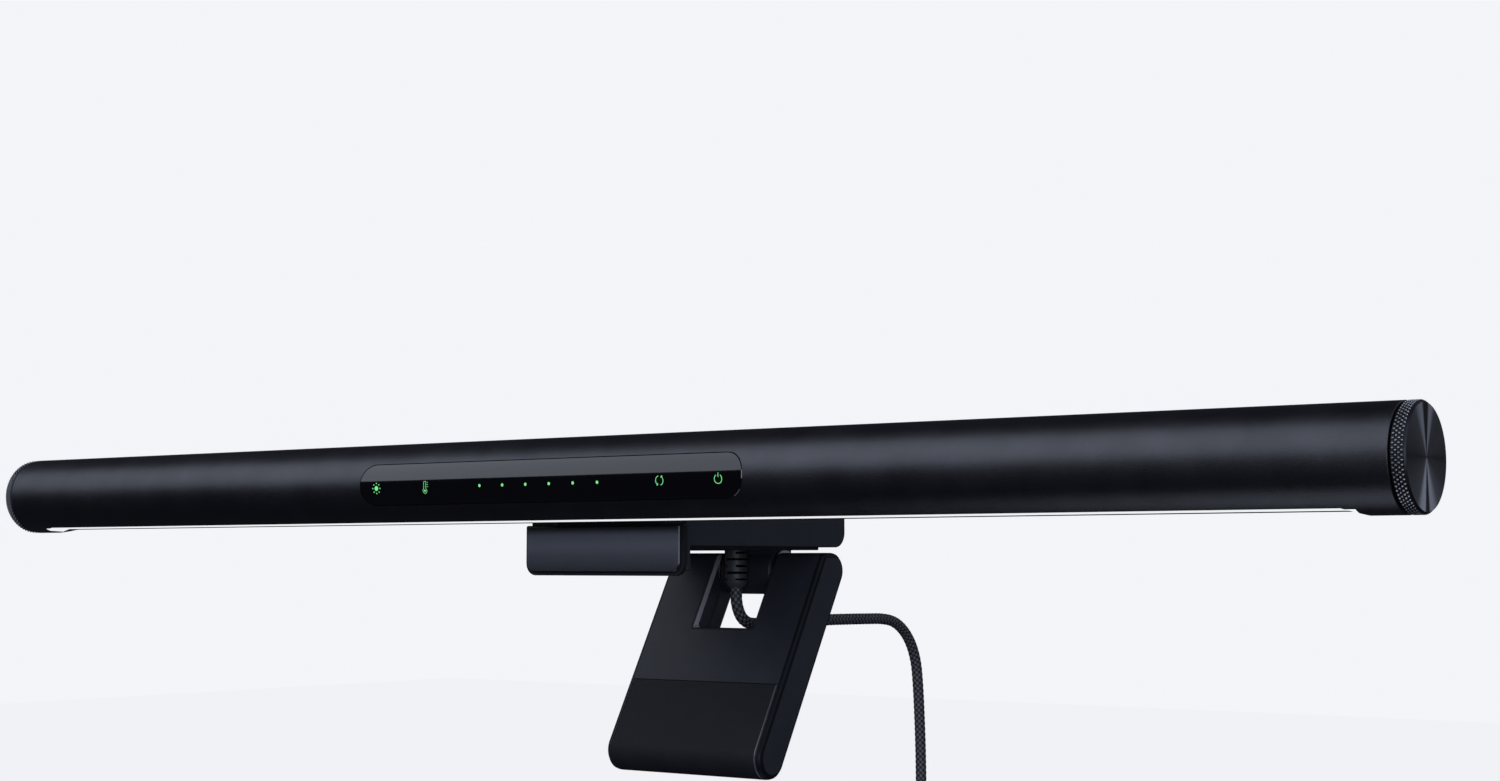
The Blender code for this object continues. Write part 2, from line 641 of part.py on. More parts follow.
def build_clamp(frame):
    bridge(frame)
    saddle_pieces(frame)
    lip_and_pads(frame)
    hinge_pieces(frame)
    strain_relief(frame)
    power_lead(frame)


# ---------------------------------------------------------------- leg

def leg_outline():
    """The leg from its side, in its own frame: a slanted top, a rounded heel behind the hinge, a rounded foot."""
    tilt = math.radians(LEG_TILT)
    up = Vector((math.sin(tilt), math.cos(tilt)))  # the world's up, in the leg's frame
    heel = LEG_REAR - LEG_TOP_R
    front_top = (heel * up.x + LEG_TOP_R - up.x * LEG_FRONT) / up.y
    foot_r = (LEG_REAR - LEG_FRONT) / 2
    middle = (LEG_REAR + LEG_FRONT) / 2
    up_angle = math.degrees(math.atan2(up.y, up.x))
    points = [(LEG_FRONT, front_top)]
    points += arc((heel, 0), LEG_TOP_R, up_angle, 0, 8)
    points += arc((middle, LEG_FOOT), foot_r, 0, -180, 12)
    return points


def leg_body(leg):
    body = thing("leg_body", prism("x", leg_outline(), -HALF_WIDTH, HALF_WIDTH), leg, black_plastic())
    soften(body, 1.0)
    slot = [(-FORK_HALF, 8), (-FORK_HALF, FORK_FLOOR), (FORK_HALF, FORK_FLOOR), (FORK_HALF, 8)]
    cut(body, prism("y", slot, -12, 12))
    flare = [(-FORK_HALF - 1, 9), (-FORK_HALF - 1, FORK_FLOOR - 1), (FORK_HALF + 1, FORK_FLOOR - 1), (FORK_HALF + 1, 9)]
    bevelled = prism("y", flare, LEG_FRONT - 1, LEG_FRONT)
    for vert in bevelled.verts:
        if vert.co.y > LEG_FRONT - 0.5:
            vert.co.x *= FORK_HALF / (FORK_HALF + 1)
            vert.co.z += 1 if vert.co.z < 0 else 0
    bmesh.ops.translate(bevelled, vec=(0, 1, 0), verts=bevelled.verts)
    cut(body, bevelled)
    hole = PIN_R + GAP
    cut(body, rod("x", (0, 0), hole, -HALF_WIDTH - 1, 21.8, 16))
    # the spring's free end turns in this pocket beside the fork
    tail = math.radians(90 - LEG_TILT)
    pocket = sector(2.35, 4.3, math.degrees(tail) - 24, 34, 8)
    cut(body, prism("x", pocket, -FORK_HALF - 1.6, -FORK_HALF + 1))
    cut(body,
        block((-20.5, -3.6, WEIGHT_Z[0]), (20.5, 8, WEIGHT_Z[1])),
        block((-22.5, LEG_REAR - 1.8, COVER_Z[0] - GAP), (22.5, 8, COVER_Z[1] + GAP)))
    for z in LEG_SCREWS:
        cut(body, rod("y", (0, z), 1.3, -2.5, 6, 8))
    foot_r = (LEG_REAR - LEG_FRONT) / 2
    cut(body, prism("x", pad_outline(foot_r - 1.5, foot_r + 2, GAP), -PAD_HALF - GAP, PAD_HALF + GAP))


def pad_outline(inner, outer, extra):
    """The rubber pad from its side: down the leg's front and round its foot."""
    middle = (LEG_REAR + LEG_FRONT) / 2
    end = -55 + math.degrees(extra / outer)
    around = arc((middle, LEG_FOOT), outer, -180, end, 12)
    back = arc((middle, LEG_FOOT), inner, end, -180, 12)
    top = LEG_PAD_TOP + extra
    return [(middle - outer, top)] + around + back + [(middle - inner, top)]


def build_leg(leg):
    leg_body(leg)
    foot_r = (LEG_REAR - LEG_FRONT) / 2
    thing("leg_pad", prism("x", pad_outline(foot_r - 1.2, foot_r + 0.05, 0), -PAD_HALF, PAD_HALF), leg, black_rubber())
    cover = thing("leg_cover", block((-22.2, LEG_REAR - 1.5, COVER_Z[0]), (22.2, LEG_REAR, COVER_Z[1])), leg,
                  black_plastic())
    thing("leg_weight", block((-20.2, -3.3, WEIGHT_Z[0] + GAP), (20.2, LEG_REAR - 1.8, WEIGHT_Z[1] - GAP)), leg, steel())
    for number, z in enumerate(LEG_SCREWS, 1):
        cut(cover, rod("y", (0, z), 1.3, 2, 6, 10), rod("y", (0, z), 2.2, LEG_REAR - 0.9, 6))
        screw(f"leg_screw_{number}", leg, steel(), "y", (0, z), LEG_REAR - 0.05, -2.0, 1.9, 0.55, 1.0)
    thing("hinge_pin", rod("x", (0, 0), PIN_R, -HALF_WIDTH + 0.6, 21.5, 14), leg, steel())


# ---------------------------------------------------------------- cord

def hank_outline():
    """The tied hank from the front: a loop at each end and a waist where the tie holds it."""
    straight = HANK_RUN / 2
    centre = HANK_TOP - HANK_LOOP_R - straight
    right = []
    steps = 8
    for i in range(1, steps):
        z = straight - HANK_RUN * i / steps
        bulge = math.sin(math.pi / 2 * z / straight) ** 2
        right.append((HANK_WAIST + (HANK_LOOP_R - HANK_WAIST) * bulge, centre + z))
    top = arc((0, centre + straight), HANK_LOOP_R, 180, 0, 14)
    bottom = arc((0, centre - straight), HANK_LOOP_R, 0, -180, 14)
    left = [(-x, z) for x, z in reversed(right)]
    return top + right + bottom + left, centre


def build_cord(frame):
    braid = paint("braided_cord", (0.03, 0.03, 0.034), 0.75)
    route = [(0.0, y, z) for y, z in CORD_ROUTE]
    tube("cord", catmull(route, 4.5), CORD_R, frame, braid)
    outline, centre = hank_outline()
    half = HANK_THICK / 2
    thing("cord_hank", prism("y", outline, HANK_Y - half, HANK_Y + half), frame, braid)
    inner = HANK_WAIST + GAP + 1.0
    strap = thing("cord_tie", prism("z", rounded((-inner - 1.2, HANK_Y - half - GAP - 1.2),
                                                 (inner + 1.2, HANK_Y + half + GAP + 1.2), 2.5),
                                    centre - TIE_HEIGHT / 2, centre + TIE_HEIGHT / 2), frame,
                  paint("hook_and_loop", (0.02, 0.02, 0.022), 0.9))
    cut(strap, prism("z", rounded((-inner, HANK_Y - half - GAP), (inner, HANK_Y + half + GAP), 0.3, steps=1),
                     centre - TIE_HEIGHT, centre + TIE_HEIGHT))
    bottom = centre - HANK_RUN / 2 - HANK_LOOP_R - GAP
    grip_end = bottom - 26
    grip = thing("usb_plug_grip", prism("z", rounded((-8.0, PLUG_Y - 4), (8.0, PLUG_Y + 4), 1.6, steps=2), grip_end,
                                        bottom), frame, black_plastic())
    soften(grip, 0.8)
    shell = thing("usb_plug_shell", prism("z", rounded((-6, PLUG_Y - 2.25), (6, PLUG_Y + 2.25), 0.6, steps=1),
                                          grip_end - GAP - 12, grip_end - GAP), frame, steel())
    cut(shell, block((-5.6, PLUG_Y - 1.85, grip_end - 14), (5.6, PLUG_Y + 1.85, grip_end - 1.5)))
    thing("usb_plug_tongue", block((-5.3, PLUG_Y - 1.5, grip_end - 11.5), (5.3, PLUG_Y + 0.4, grip_end - 1.8)),
          frame, black_plastic())


def main():
    clear_scene()
    frame = empty("bar_frame", None, (0, -REST_Y, -REST_Z))
    lamp = empty("tilt_axis", frame, (0, 0, 0))
    leg = empty("leg_hinge", frame, (0, HINGE_Y, HINGE_Z), LEG_TILT)
    build_lamp(lamp)
    build_clamp(frame)
    build_leg(leg)
    build_cord(frame)


main()
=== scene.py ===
"""The looks of the monitor light bar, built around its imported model.

Shapes are drawn in millimetres from the lamp's axis (x right, y back, z up). BAR carries them to the model's
frame, in metres. FLAT leans with the flat under the tube, and LEG sits on the hinge and leans with the leg.
"""
import math

import bmesh
import bpy
from mathutils import Matrix, Vector


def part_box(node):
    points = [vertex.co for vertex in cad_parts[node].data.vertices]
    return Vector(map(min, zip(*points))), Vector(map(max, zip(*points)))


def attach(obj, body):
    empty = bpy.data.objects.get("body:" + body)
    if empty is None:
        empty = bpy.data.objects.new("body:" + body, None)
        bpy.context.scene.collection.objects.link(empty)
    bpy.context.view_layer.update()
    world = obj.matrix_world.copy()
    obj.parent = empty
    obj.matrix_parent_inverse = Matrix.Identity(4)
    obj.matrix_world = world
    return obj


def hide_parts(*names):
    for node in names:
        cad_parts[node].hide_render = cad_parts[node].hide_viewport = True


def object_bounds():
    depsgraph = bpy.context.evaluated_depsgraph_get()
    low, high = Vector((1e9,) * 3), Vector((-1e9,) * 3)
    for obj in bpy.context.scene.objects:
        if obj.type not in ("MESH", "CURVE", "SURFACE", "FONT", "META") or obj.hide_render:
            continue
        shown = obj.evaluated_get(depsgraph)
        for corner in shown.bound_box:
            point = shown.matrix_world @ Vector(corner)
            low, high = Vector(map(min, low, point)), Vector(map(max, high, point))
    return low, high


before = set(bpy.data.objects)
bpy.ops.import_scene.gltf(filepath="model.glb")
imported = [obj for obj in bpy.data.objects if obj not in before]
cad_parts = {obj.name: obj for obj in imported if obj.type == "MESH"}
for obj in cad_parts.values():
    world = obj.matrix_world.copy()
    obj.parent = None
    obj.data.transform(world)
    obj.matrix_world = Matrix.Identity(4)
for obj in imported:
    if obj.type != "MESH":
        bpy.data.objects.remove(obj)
CAD_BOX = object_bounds()

MM = 0.001
GAP = 0.3
CUT = "DIFFERENCE"

CAMERA_AT = (385.2, -432.2, -20.66)
CAMERA_LENS, CAMERA_PITCH, CAMERA_YAW = 54.0, 94.37, 37.085
FLOOR_DROP = 0.25  # metres from the lowest point to the floor

TUBE_R, TUBE_HALF = 11.4, 221.4
BORE_R = 9.9
BAR_HALF = 225.0
CAP_WIDTH = 3.3
KNURL_POINTS, KNURL_PITCH = 72, 1.28
FLAT_DEPTH = 10.2
FLAT_TILT = -2.8
FLAT_HALF = 209.2
RAMP = 4.4
SLOT_FRONT, SLOT_REAR, SLOT_HALF = -4.6, 2.1, 212.3
REAR_LENS_X = (26.3, 208.7)
REAR_LENS_ANGLE = 14.4  # degrees each side of straight back
PANEL_HALF = 64.65
PANEL_ANGLE = 28.7
PANEL_CORNER = 5.2
PANEL_FLOOR_R = 10.4
SYMBOL_Z, SYMBOL_LINE, THIN_LINE = -0.9, 0.15, 0.11
FRONT = 180.0  # degrees round the tube, from straight back

HALF_WIDTH = 26.7
BRIDGE_FRONT, BRIDGE_REAR = 15.5, 86.1
LID_TOP, LID_FOOT, TRAY_TOP, TRAY_FOOT, LIP_FOOT = -4.5, -6.7, -7.0, -16.5, -22.8
PLATE_Z = (-23.2, -11.2)
COVER_POSTS = ((-21.3, 25), (21.3, 25), (-20, 69), (20, 69))
POST_R = 2.7
REST_PAD_HALF, REST_PAD_Y, REST_PAD_Z = 25.2, (19.1, 75.5), (-17.3, -16.2)
SADDLE_HALF = 18
BARREL_HALF = 8.8
HINGE_Y, HINGE_Z = 81.2, -23.2

LEG_TILT = -29.4
LEG_FRONT, LEG_REAR = -6.87, 4.6
LEG_FOOT = -57.2
LEG_TOP_R = 5.0
LEG_SOFTEN = 1.4
LEG_PAD_TOP = -38.3
PAD_HALF = 24.9
COVER_Z = (-56.8, -25.0)
LEG_SCREWS = (-54.8, -27.5)
PARTING = -0.95
FORK_HALF = 9.85
FORK_FLOOR = -21.1

CORD_R = 1.7
CORD_Y = 71.0
CORD_START = (0.0, CORD_Y, -26.6)
CORD_STEP, CORD_SIDES = 0.42, 24
WEAVE_PITCH = 1.7
BOOT_TOP, BOOT_END = -17.6, -27.6
HANK_TOP, HANK_RUN, HANK_LOOP_R, HANK_WAIST = -93.0, 59.0, 19.2, 12.0
HANK_Y, TIE_HALF_DEPTH, TIE_HALF_HEIGHT = 171.1, 7.35, 6
LAYERS = (166.0, 169.4, 172.8, 176.2)
HANK_CENTRE = HANK_TOP - HANK_LOOP_R - HANK_RUN / 2
HANK_BOTTOM = HANK_CENTRE - HANK_RUN / 2 - HANK_LOOP_R

# How light the spun end face is painted at each angle: painted dark crosses with painted highlights in bright
# fans beside them.
PAINTED_FAN_SHINE = (
    (0, 0.08), (360, 0.08), (10, 0.2), (35, 0.38), (60, 0.6), (72, 2.8), (82, 3.2), (86, 0.15), (94, 0.15),
    (99, 2.9), (108, 2.6), (122, 0.8), (150, 0.3), (172, 0.2), (180, 0.08), (188, 0.2), (205, 0.3),
    (228, 0.3), (243, 0.4), (252, 1.8), (259, 1.9), (264, 0.08), (276, 0.08), (281, 1.9), (290, 1.7),
    (302, 0.5), (330, 0.3), (350, 0.2),
)

# material()'s arguments for each plain finish: name, colour, roughness, metal, grain, grain depth, mottle,
# mottle scale, spread of roughness, and then coat, specular and sheen where they differ from the usual.
FINISHES = {
    "anodised": ("bead_blasted_black", (0.078, 0.080, 0.086), 0.39, 1.0, 4200, 5e-5, 0.12, 90, 0.03),
    "plastic": ("fine_matte_black", (0.023, 0.0245, 0.033), 0.48, 0.0, 5200, 3e-5, 0.1, 120, 0.03, 0.0, 0.3),
    "rubber": ("black_silicone", (0.009, 0.0097, 0.013), 0.70, 0.0, 3000, 3e-5, 0.15, 150, 0.05, 0.0, 0.3),
    # painted shade: a darker finish for the leg's rounded outer edges, standing for a dark reflection there
    "edge_painted_shade": ("rounded_edge", (0.007, 0.0075, 0.010), 0.40, 0.0, 5200, 3e-5, 0.1, 120, 0.03, 0.0, 0.1),
    # painted highlight: a light grey for the chamfer round the leg's fork
    "edge_painted_highlight": ("cut_chamfer", (0.24, 0.243, 0.26), 0.45, 0.0, 5200, 3e-5, 0.1, 120, 0.03),
    # painted highlight: a lighter, sheeny finish for the leg pad's edge
    "pad_edge_painted_highlight": ("rubber_edge", (0.10, 0.102, 0.12), 0.25, 0.0, 3000, 1e-5, 0.1, 150, 0.04, 0.0, 0.8),
    # painted shade: near black for the faces inside the boot's slots
    "deep_slot": ("deep_slot", (0.001, 0.001, 0.0012), 0.8, 0.0, 3000, 3e-5, 0.1, 150, 0.05, 0.0, 0.05),
    "boot": ("moulded_rubber", (0.050, 0.051, 0.056), 0.5, 0.0, 3000, 3e-5, 0.15, 150, 0.05),
    "gloss": ("smoked_gloss", (0.001, 0.001, 0.0016), 0.07, 0.0, 900, 2e-6, 0.1, 60, 0.01, 0.4),
    "strap": ("hook_and_loop", (0.016, 0.016, 0.018), 0.85, 0.0, 2200, 2e-4, 0.5, 1600, 0.05, 0.0, 0.2, 0.3),
    "lead": ("lead_jacket", (0.03, 0.03, 0.032), 0.5, 0.0, 2500, 2e-5, 0.1, 200, 0.04),
    "gunmetal": ("knurled_gunmetal", (0.022, 0.023, 0.027), 0.42, 0.8, 3000, 2e-5, 0.1, 300, 0.04),
    "knurl_tip": ("knurl_tip", (0.36, 0.37, 0.39), 0.4, 0.8, 3000, 1e-5, 0.1, 300, 0.04),
    "bright_edge": ("cut_edge", (0.05, 0.052, 0.06), 0.34, 0.9, 4000, 1e-5, 0.1, 200, 0.04),
    "raw_aluminium": ("raw_aluminium", (0.62, 0.63, 0.65), 0.36, 1.0, 2500, 2e-5, 0.06, 80, 0.05),
    "steel": ("plated_steel", (0.5, 0.5, 0.52), 0.3, 1.0, 3500, 2e-5, 0.08, 200, 0.06),
    "nickel": ("nickel", (0.68, 0.67, 0.65), 0.22, 1.0, 2500, 1e-5, 0.05, 200, 0.05),
    "gold": ("gold_contact", (0.83, 0.62, 0.24), 0.25, 1.0, 3000, 1e-5, 0.05, 200, 0.04),
    "board": ("solder_mask", (0.03, 0.16, 0.07), 0.35, 0.0, 1200, 2e-5, 0.3, 400, 0.05),
}

low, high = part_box("tube_housing")
AXIS = (Vector(low) + Vector(high)) / 2
BAR = Matrix.Translation((0, AXIS.y, (low[2] + high[2]) / 2)) @ Matrix.Scale(MM, 4)
LEG = BAR @ Matrix.Translation((0, HINGE_Y, HINGE_Z)) @ Matrix.Rotation(math.radians(LEG_TILT), 4, "X")
FLAT = BAR @ Matrix.Rotation(math.radians(FLAT_TILT), 4, "X")


# ---- camera and studio

def new_object(name, data):
    """An object for this data, linked into the scene."""
    obj = bpy.data.objects.new(name, data)
    bpy.context.scene.collection.objects.link(obj)
    return obj


def camera():
    data = bpy.data.cameras.new("camera")
    data.sensor_width = 36
    data.lens = CAMERA_LENS
    data.clip_start = 0.01
    obj = new_object("camera", data)
    obj.location = BAR @ Vector(CAMERA_AT)
    obj.rotation_euler = (math.radians(CAMERA_PITCH), 0, math.radians(CAMERA_YAW))
    bpy.context.scene.camera = obj


def softbox(name, target, azimuth, elevation, distance, size, power, colour=(1, 1, 1)):
    """An area light that faces target. Azimuth 0 is in front of the lamp and 90 to its right."""
    data = bpy.data.lights.new(name, "AREA")
    data.shape = "RECTANGLE"
    data.size, data.size_y = size
    data.energy = power
    data.color = colour
    obj = new_object(name, data)
    a, e = math.radians(azimuth), math.radians(elevation)
    away = Vector((math.sin(a) * math.cos(e), -math.cos(a) * math.cos(e), math.sin(e)))
    obj.location = Vector(target) + away * distance
    obj.rotation_euler = away.to_track_quat("Z", "Y").to_euler()
    obj.visible_camera = False


def pale_floor():
    """A plain pale floor, which lights nothing and shows in no reflection."""
    bm = bmesh.new()
    bmesh.ops.create_grid(bm, x_segments=8, y_segments=8, size=6)
    mesh = bpy.data.meshes.new("floor")
    bm.to_mesh(mesh)
    bm.free()
    plane = new_object("floor", mesh)
    plane.location.z = CAD_BOX[0][2] - FLOOR_DROP
    pale, shader = material("pale_floor", (0.08, 0.08, 0.08), 0.9)
    glow(shader, (0.87, 0.88, 0.905), 1.0)
    mesh.materials.append(pale)
    plane.visible_glossy = False
    plane.visible_diffuse = False
    return plane


def studio():
    world = bpy.data.worlds.new("studio")
    bpy.context.scene.world = world
    world.use_nodes = True
    nodes, links = world.node_tree.nodes, world.node_tree.links
    seen = add_node(nodes, "Background", Color=(0.90, 0.91, 0.94, 1), Strength=1.0)
    dim = nodes["Background"]
    dim.inputs["Color"].default_value = (0.66, 0.68, 1.0, 1)
    dim.inputs["Strength"].default_value = 0.04
    path = nodes.new("ShaderNodeLightPath")
    mix = nodes.new("ShaderNodeMixShader")
    links.new(path.outputs["Is Camera Ray"], mix.inputs[0])
    links.new(dim.outputs[0], mix.inputs[1])
    links.new(seen.outputs[0], mix.inputs[2])
    links.new(mix.outputs[0], nodes["World Output"].inputs[0])
    middle = BAR @ Vector((0, 0, 0))
    cool = (0.80, 0.86, 1.0)
    beside = BAR @ Vector((-1150, 0, 0))
    softbox("key", beside, 0, 44, 1.2, (2.4, 1.4), 15, cool)
    softbox("under", BAR @ Vector((-30, 0, 0)), 0, -88, 0.8, (0.45, 0.6), 0.85, cool)
    softbox("rim_right", middle, 70, 34, 1.3, (0.6, 1.0), 3, cool)
    softbox("front_right", middle, 38, 4, 1.25, (0.9, 0.7), 7.5, cool)
    softbox("behind_right", middle, 157, 4, 1.3, (0.7, 0.7), 0.35, cool)
    softbox("back", middle, 145, 40, 1.5, (1.4, 0.9), 1.0, cool)
    bpy.context.scene.view_settings.view_transform = "Standard"
    floor = pale_floor()


# ---- materials

def add_node(nodes, kind, **values):
    """A new shader node of this kind, with the inputs named in values set."""
    node = nodes.new("ShaderNode" + kind)
    for name, value in values.items():
        node.inputs[name.replace("_", " ")].default_value = value
    return node


def add_ramp(nodes, stops):
    """A colour ramp through (position, colour) stops, of which the first two are its lowest and highest."""
    ramp = nodes.new("ShaderNodeValToRGB")
    elements = ramp.color_ramp.elements
    for number, (position, colour) in enumerate(stops):
        stop = elements[number] if number < 2 else elements.new(position)
        stop.position = position
        stop.color = (*colour, 1)
    return ramp


def add_bump(made, shader, height, distance, strength):
    """Lets height, an output socket, raise the shader's surface by distance metres."""
    bump = add_node(made.node_tree.nodes, "Bump", Distance=distance, Strength=strength)
    made.node_tree.links.new(height, bump.inputs["Height"])
    made.node_tree.links.new(bump.outputs["Normal"], shader.inputs["Normal"])


def material(name, colour, rough, metallic=0.0, grain=0, grain_depth=0.0, mottle=0.0, mottle_scale=60,
             rough_spread=0.0, coat=0.0, specular=0.5, sheen=0.0):
    """A Principled material. grain is the bump's cells a metre, mottle how much the colour varies."""
    made = bpy.data.materials.new(name)
    made.use_nodes = True
    nodes, links = made.node_tree.nodes, made.node_tree.links
    shader = nodes["Principled BSDF"]
    shader.inputs["Base Color"].default_value = (*colour, 1)
    shader.inputs["Roughness"].default_value = rough
    shader.inputs["Metallic"].default_value = metallic
    shader.inputs["Specular IOR Level"].default_value = specular
    shader.inputs["Coat Weight"].default_value = coat
    shader.inputs["Coat Roughness"].default_value = 0.04
    shader.inputs["Sheen Weight"].default_value = sheen
    shader.inputs["Sheen Roughness"].default_value = 0.4
    made.diffuse_color = (*colour, 1)
    place_at = nodes.new("ShaderNodeTexCoord").outputs["Object"]
    if mottle or rough_spread:
        cloud = add_node(nodes, "TexNoise", Scale=mottle_scale, Detail=4)
        links.new(place_at, cloud.inputs["Vector"])
    if mottle:
        tones = [[c * level for c in colour] for level in (1 - mottle, 1 + mottle)]
        ramp = add_ramp(nodes, zip((0.3, 0.7), tones))
        links.new(cloud.outputs["Fac"], ramp.inputs["Fac"])
        links.new(ramp.outputs["Color"], shader.inputs["Base Color"])
    if rough_spread:
        spread = add_node(nodes, "MapRange", To_Min=rough - rough_spread, To_Max=rough + rough_spread)
        links.new(cloud.outputs["Fac"], spread.inputs["Value"])
        links.new(spread.outputs["Result"], shader.inputs["Roughness"])
    if grain:
        fine = add_node(nodes, "TexNoise", Scale=grain, Detail=2)
        links.new(place_at, fine.inputs["Vector"])
        add_bump(made, shader, fine.outputs["Fac"], grain_depth, 0.8)
    return made, shader


def plate_with_painted_light():
    """Blasted metal with painted light: lighter towards the plate's top than at its foot by a painted
    highlight across its upper part, with a painted shadow under the tube along its very top.
    """
    made, shader = material("blasted_plate_painted_light", (0.06, 0.063, 0.075), 0.45, 0.2, 4200, 0.00004)
    nodes, links = made.node_tree.nodes, made.node_tree.links
    split = nodes.new("ShaderNodeSeparateXYZ")
    links.new(nodes.new("ShaderNodeTexCoord").outputs["Object"], split.inputs[0])
    foot, top = (AXIS.z + z * MM for z in PLATE_Z)
    up = add_node(nodes, "MapRange", From_Min=foot, From_Max=top)
    links.new(split.outputs["Z"], up.inputs["Value"])
    # painted light: the ramp rises to a painted highlight about two thirds up, then falls to a painted shadow
    # under the tube at the top
    stops = [(0, (0.020, 0.022, 0.029)), (1, (0.006, 0.006, 0.009))]
    for level, grey in ((0.35, 0.075), (0.62, 0.155), (0.80, 0.165), (0.93, 0.03)):
        stops.append((level, (grey, grey * 1.08, grey * 1.3)))
    ramp = add_ramp(nodes, stops)
    links.new(up.outputs["Result"], ramp.inputs["Fac"])
    links.new(ramp.outputs["Color"], shader.inputs["Base Color"])
    return made


def glow(shader, colour, strength):
    shader.inputs["Emission Color"].default_value = (*colour, 1)
    shader.inputs["Emission Strength"].default_value = strength


def spun_metal_painted_fans():
    """Lathe-turned metal: fine rings about x, and painted highlights, bright fans beside dark crosses,
    painted into its colour by the angle round the middle.
    """
    made, shader = material("spun_gunmetal_painted_fans", (0.30, 0.31, 0.34), 0.30, 1.0)
    shader.inputs["Anisotropic"].default_value = 0.3
    shader.inputs["Specular Tint"].default_value = (0.6, 0.6, 0.6, 1)
    nodes, links = made.node_tree.nodes, made.node_tree.links
    tangent = nodes.new("ShaderNodeTangent")
    tangent.direction_type = "RADIAL"
    tangent.axis = "X"
    links.new(tangent.outputs[0], shader.inputs["Tangent"])

    def vector_math(operation, source, by=(0, 0, 0)):
        node = nodes.new("ShaderNodeVectorMath")
        node.operation = operation
        node.inputs[1].default_value = by
        links.new(source, node.inputs[0])
        return node

    spot = nodes.new("ShaderNodeTexCoord").outputs["Object"]
    shift = vector_math("SUBTRACT", spot, (0, AXIS.y, AXIS.z))
    across = vector_math("MULTIPLY", shift.outputs[0], (0, 1, 1)).outputs[0]
    split, join = nodes.new("ShaderNodeSeparateXYZ"), nodes.new("ShaderNodeCombineXYZ")
    links.new(across, split.inputs[0])
    links.new(split.outputs["Y"], join.inputs["X"])
    links.new(split.outputs["Z"], join.inputs["Y"])
    turn = nodes.new("ShaderNodeTexGradient")
    turn.gradient_type = "RADIAL"
    links.new(join.outputs[0], turn.inputs["Vector"])
    # painted light: the colour brightens and darkens by angle round the axis, as painted highlights and
    # painted dark crosses
    stops = [(angle / 360, (0.30 * level, 0.312 * level, 0.34 * level)) for angle, level in PAINTED_FAN_SHINE]
    painted_fans = add_ramp(nodes, stops)
    links.new(turn.outputs["Fac"], painted_fans.inputs["Fac"])
    links.new(painted_fans.outputs["Color"], shader.inputs["Base Color"])
    length = vector_math("LENGTH", across)
    rings = add_node(nodes, "TexNoise", Scale=5200, Detail=3)
    rings.noise_dimensions = "1D"
    links.new(length.outputs["Value"], rings.inputs["W"])
    add_bump(made, shader, rings.outputs["Fac"], 2e-5, 0.5)
    return made


def rainbow():
    """The rear lens: a soft run of colours along the lamp, from red at its left to violet at its right."""
    made, shader = material("colour_lens", (0.9, 0.9, 0.9), 0.45)
    nodes, links = made.node_tree.nodes, made.node_tree.links
    split = nodes.new("ShaderNodeSeparateXYZ")
    links.new(nodes.new("ShaderNodeTexCoord").outputs["Object"], split.inputs[0])
    along = add_node(nodes, "MapRange", From_Min=-0.21, From_Max=0.21)
    links.new(split.outputs["X"], along.inputs["Value"])
    stops = [(0, (1.0, 0.08, 0.10)), (1, (0.75, 0.10, 0.90)), (0.25, (1.0, 0.55, 0.08)),
             (0.42, (0.55, 1.0, 0.10)), (0.60, (0.08, 1.0, 0.55)), (0.78, (0.08, 0.45, 1.0))]
    ramp = add_ramp(nodes, stops)
    links.new(along.outputs["Result"], ramp.inputs["Fac"])
    links.new(ramp.outputs["Color"], shader.inputs["Emission Color"])
    shader.inputs["Emission Strength"].default_value = 1.4
    return made


def braid_paint():
    """Black yarn in a diamond weave: two families of strands, with painted shade in the dips between them and
    a painted highlight along each strand's crown.
    """
    made, shader = material("braided_yarn_painted_light", (0.02, 0.02, 0.023), 0.6)
    nodes, links = made.node_tree.nodes, made.node_tree.links
    uv = nodes.new("ShaderNodeUVMap")
    uv.uv_map = "weave"
    split = nodes.new("ShaderNodeSeparateXYZ")
    links.new(uv.outputs[0], split.inputs[0])

    def math_node(operation, first, second=None):
        node = nodes.new("ShaderNodeMath")
        node.operation = operation
        for socket, value in zip(node.inputs, (first, second)):
            if isinstance(value, (int, float)):
                socket.default_value = value
            elif value is not None:
                links.new(value, socket)
        return node.outputs[0]

    around = math_node("MULTIPLY", split.outputs["X"], 6 * math.pi)
    along = math_node("MULTIPLY", split.outputs["Y"], math.pi / (WEAVE_PITCH * MM))
    one = math_node("SINE", math_node("ADD", around, along))
    two = math_node("SINE", math_node("SUBTRACT", around, along))
    strands = math_node("ADD", math_node("ABSOLUTE", one), math_node("ABSOLUTE", two))
    fibre = add_node(nodes, "TexNoise", Scale=3500)
    links.new(nodes.new("ShaderNodeTexCoord").outputs["Object"], fibre.inputs["Vector"])
    fuzz = math_node("MULTIPLY", fibre.outputs["Fac"], 0.16)
    height = math_node("ADD", math_node("MULTIPLY", strands, 0.42), fuzz)
    # painted light: near black where the strands dip and lighter on their crowns, as painted shade and
    # painted highlight
    ramp = add_ramp(nodes, [(0.48, (0.0015, 0.0015, 0.002)), (0.86, (0.13, 0.135, 0.15))])
    links.new(height, ramp.inputs["Fac"])
    links.new(ramp.outputs["Color"], shader.inputs["Base Color"])
    add_bump(made, shader, height, 1.8e-4, 0.7)
    return made


def make_paints():
    paints = {key: material(*values)[0] for key, values in FINISHES.items()}
    paints.update(plate=plate_with_painted_light(), spun=spun_metal_painted_fans(), braid=braid_paint(), rainbow=rainbow())
    paints["lit_lens"], shader = material("lit_lens", (0.9, 0.9, 0.88), 0.5, 0.0, 3000, 1e-5, 0.02, 60)
    glow(shader, (0.97, 0.995, 1.0), 0.85)
    paints["symbol"], shader = material("lit_symbol", (0.05, 0.5, 0.10), 0.4, 0.0, 3000, 1e-5, 0.05, 400)
    glow(shader, (0.26, 0.90, 0.32), 0.7)
    return paints


# ---- shapes

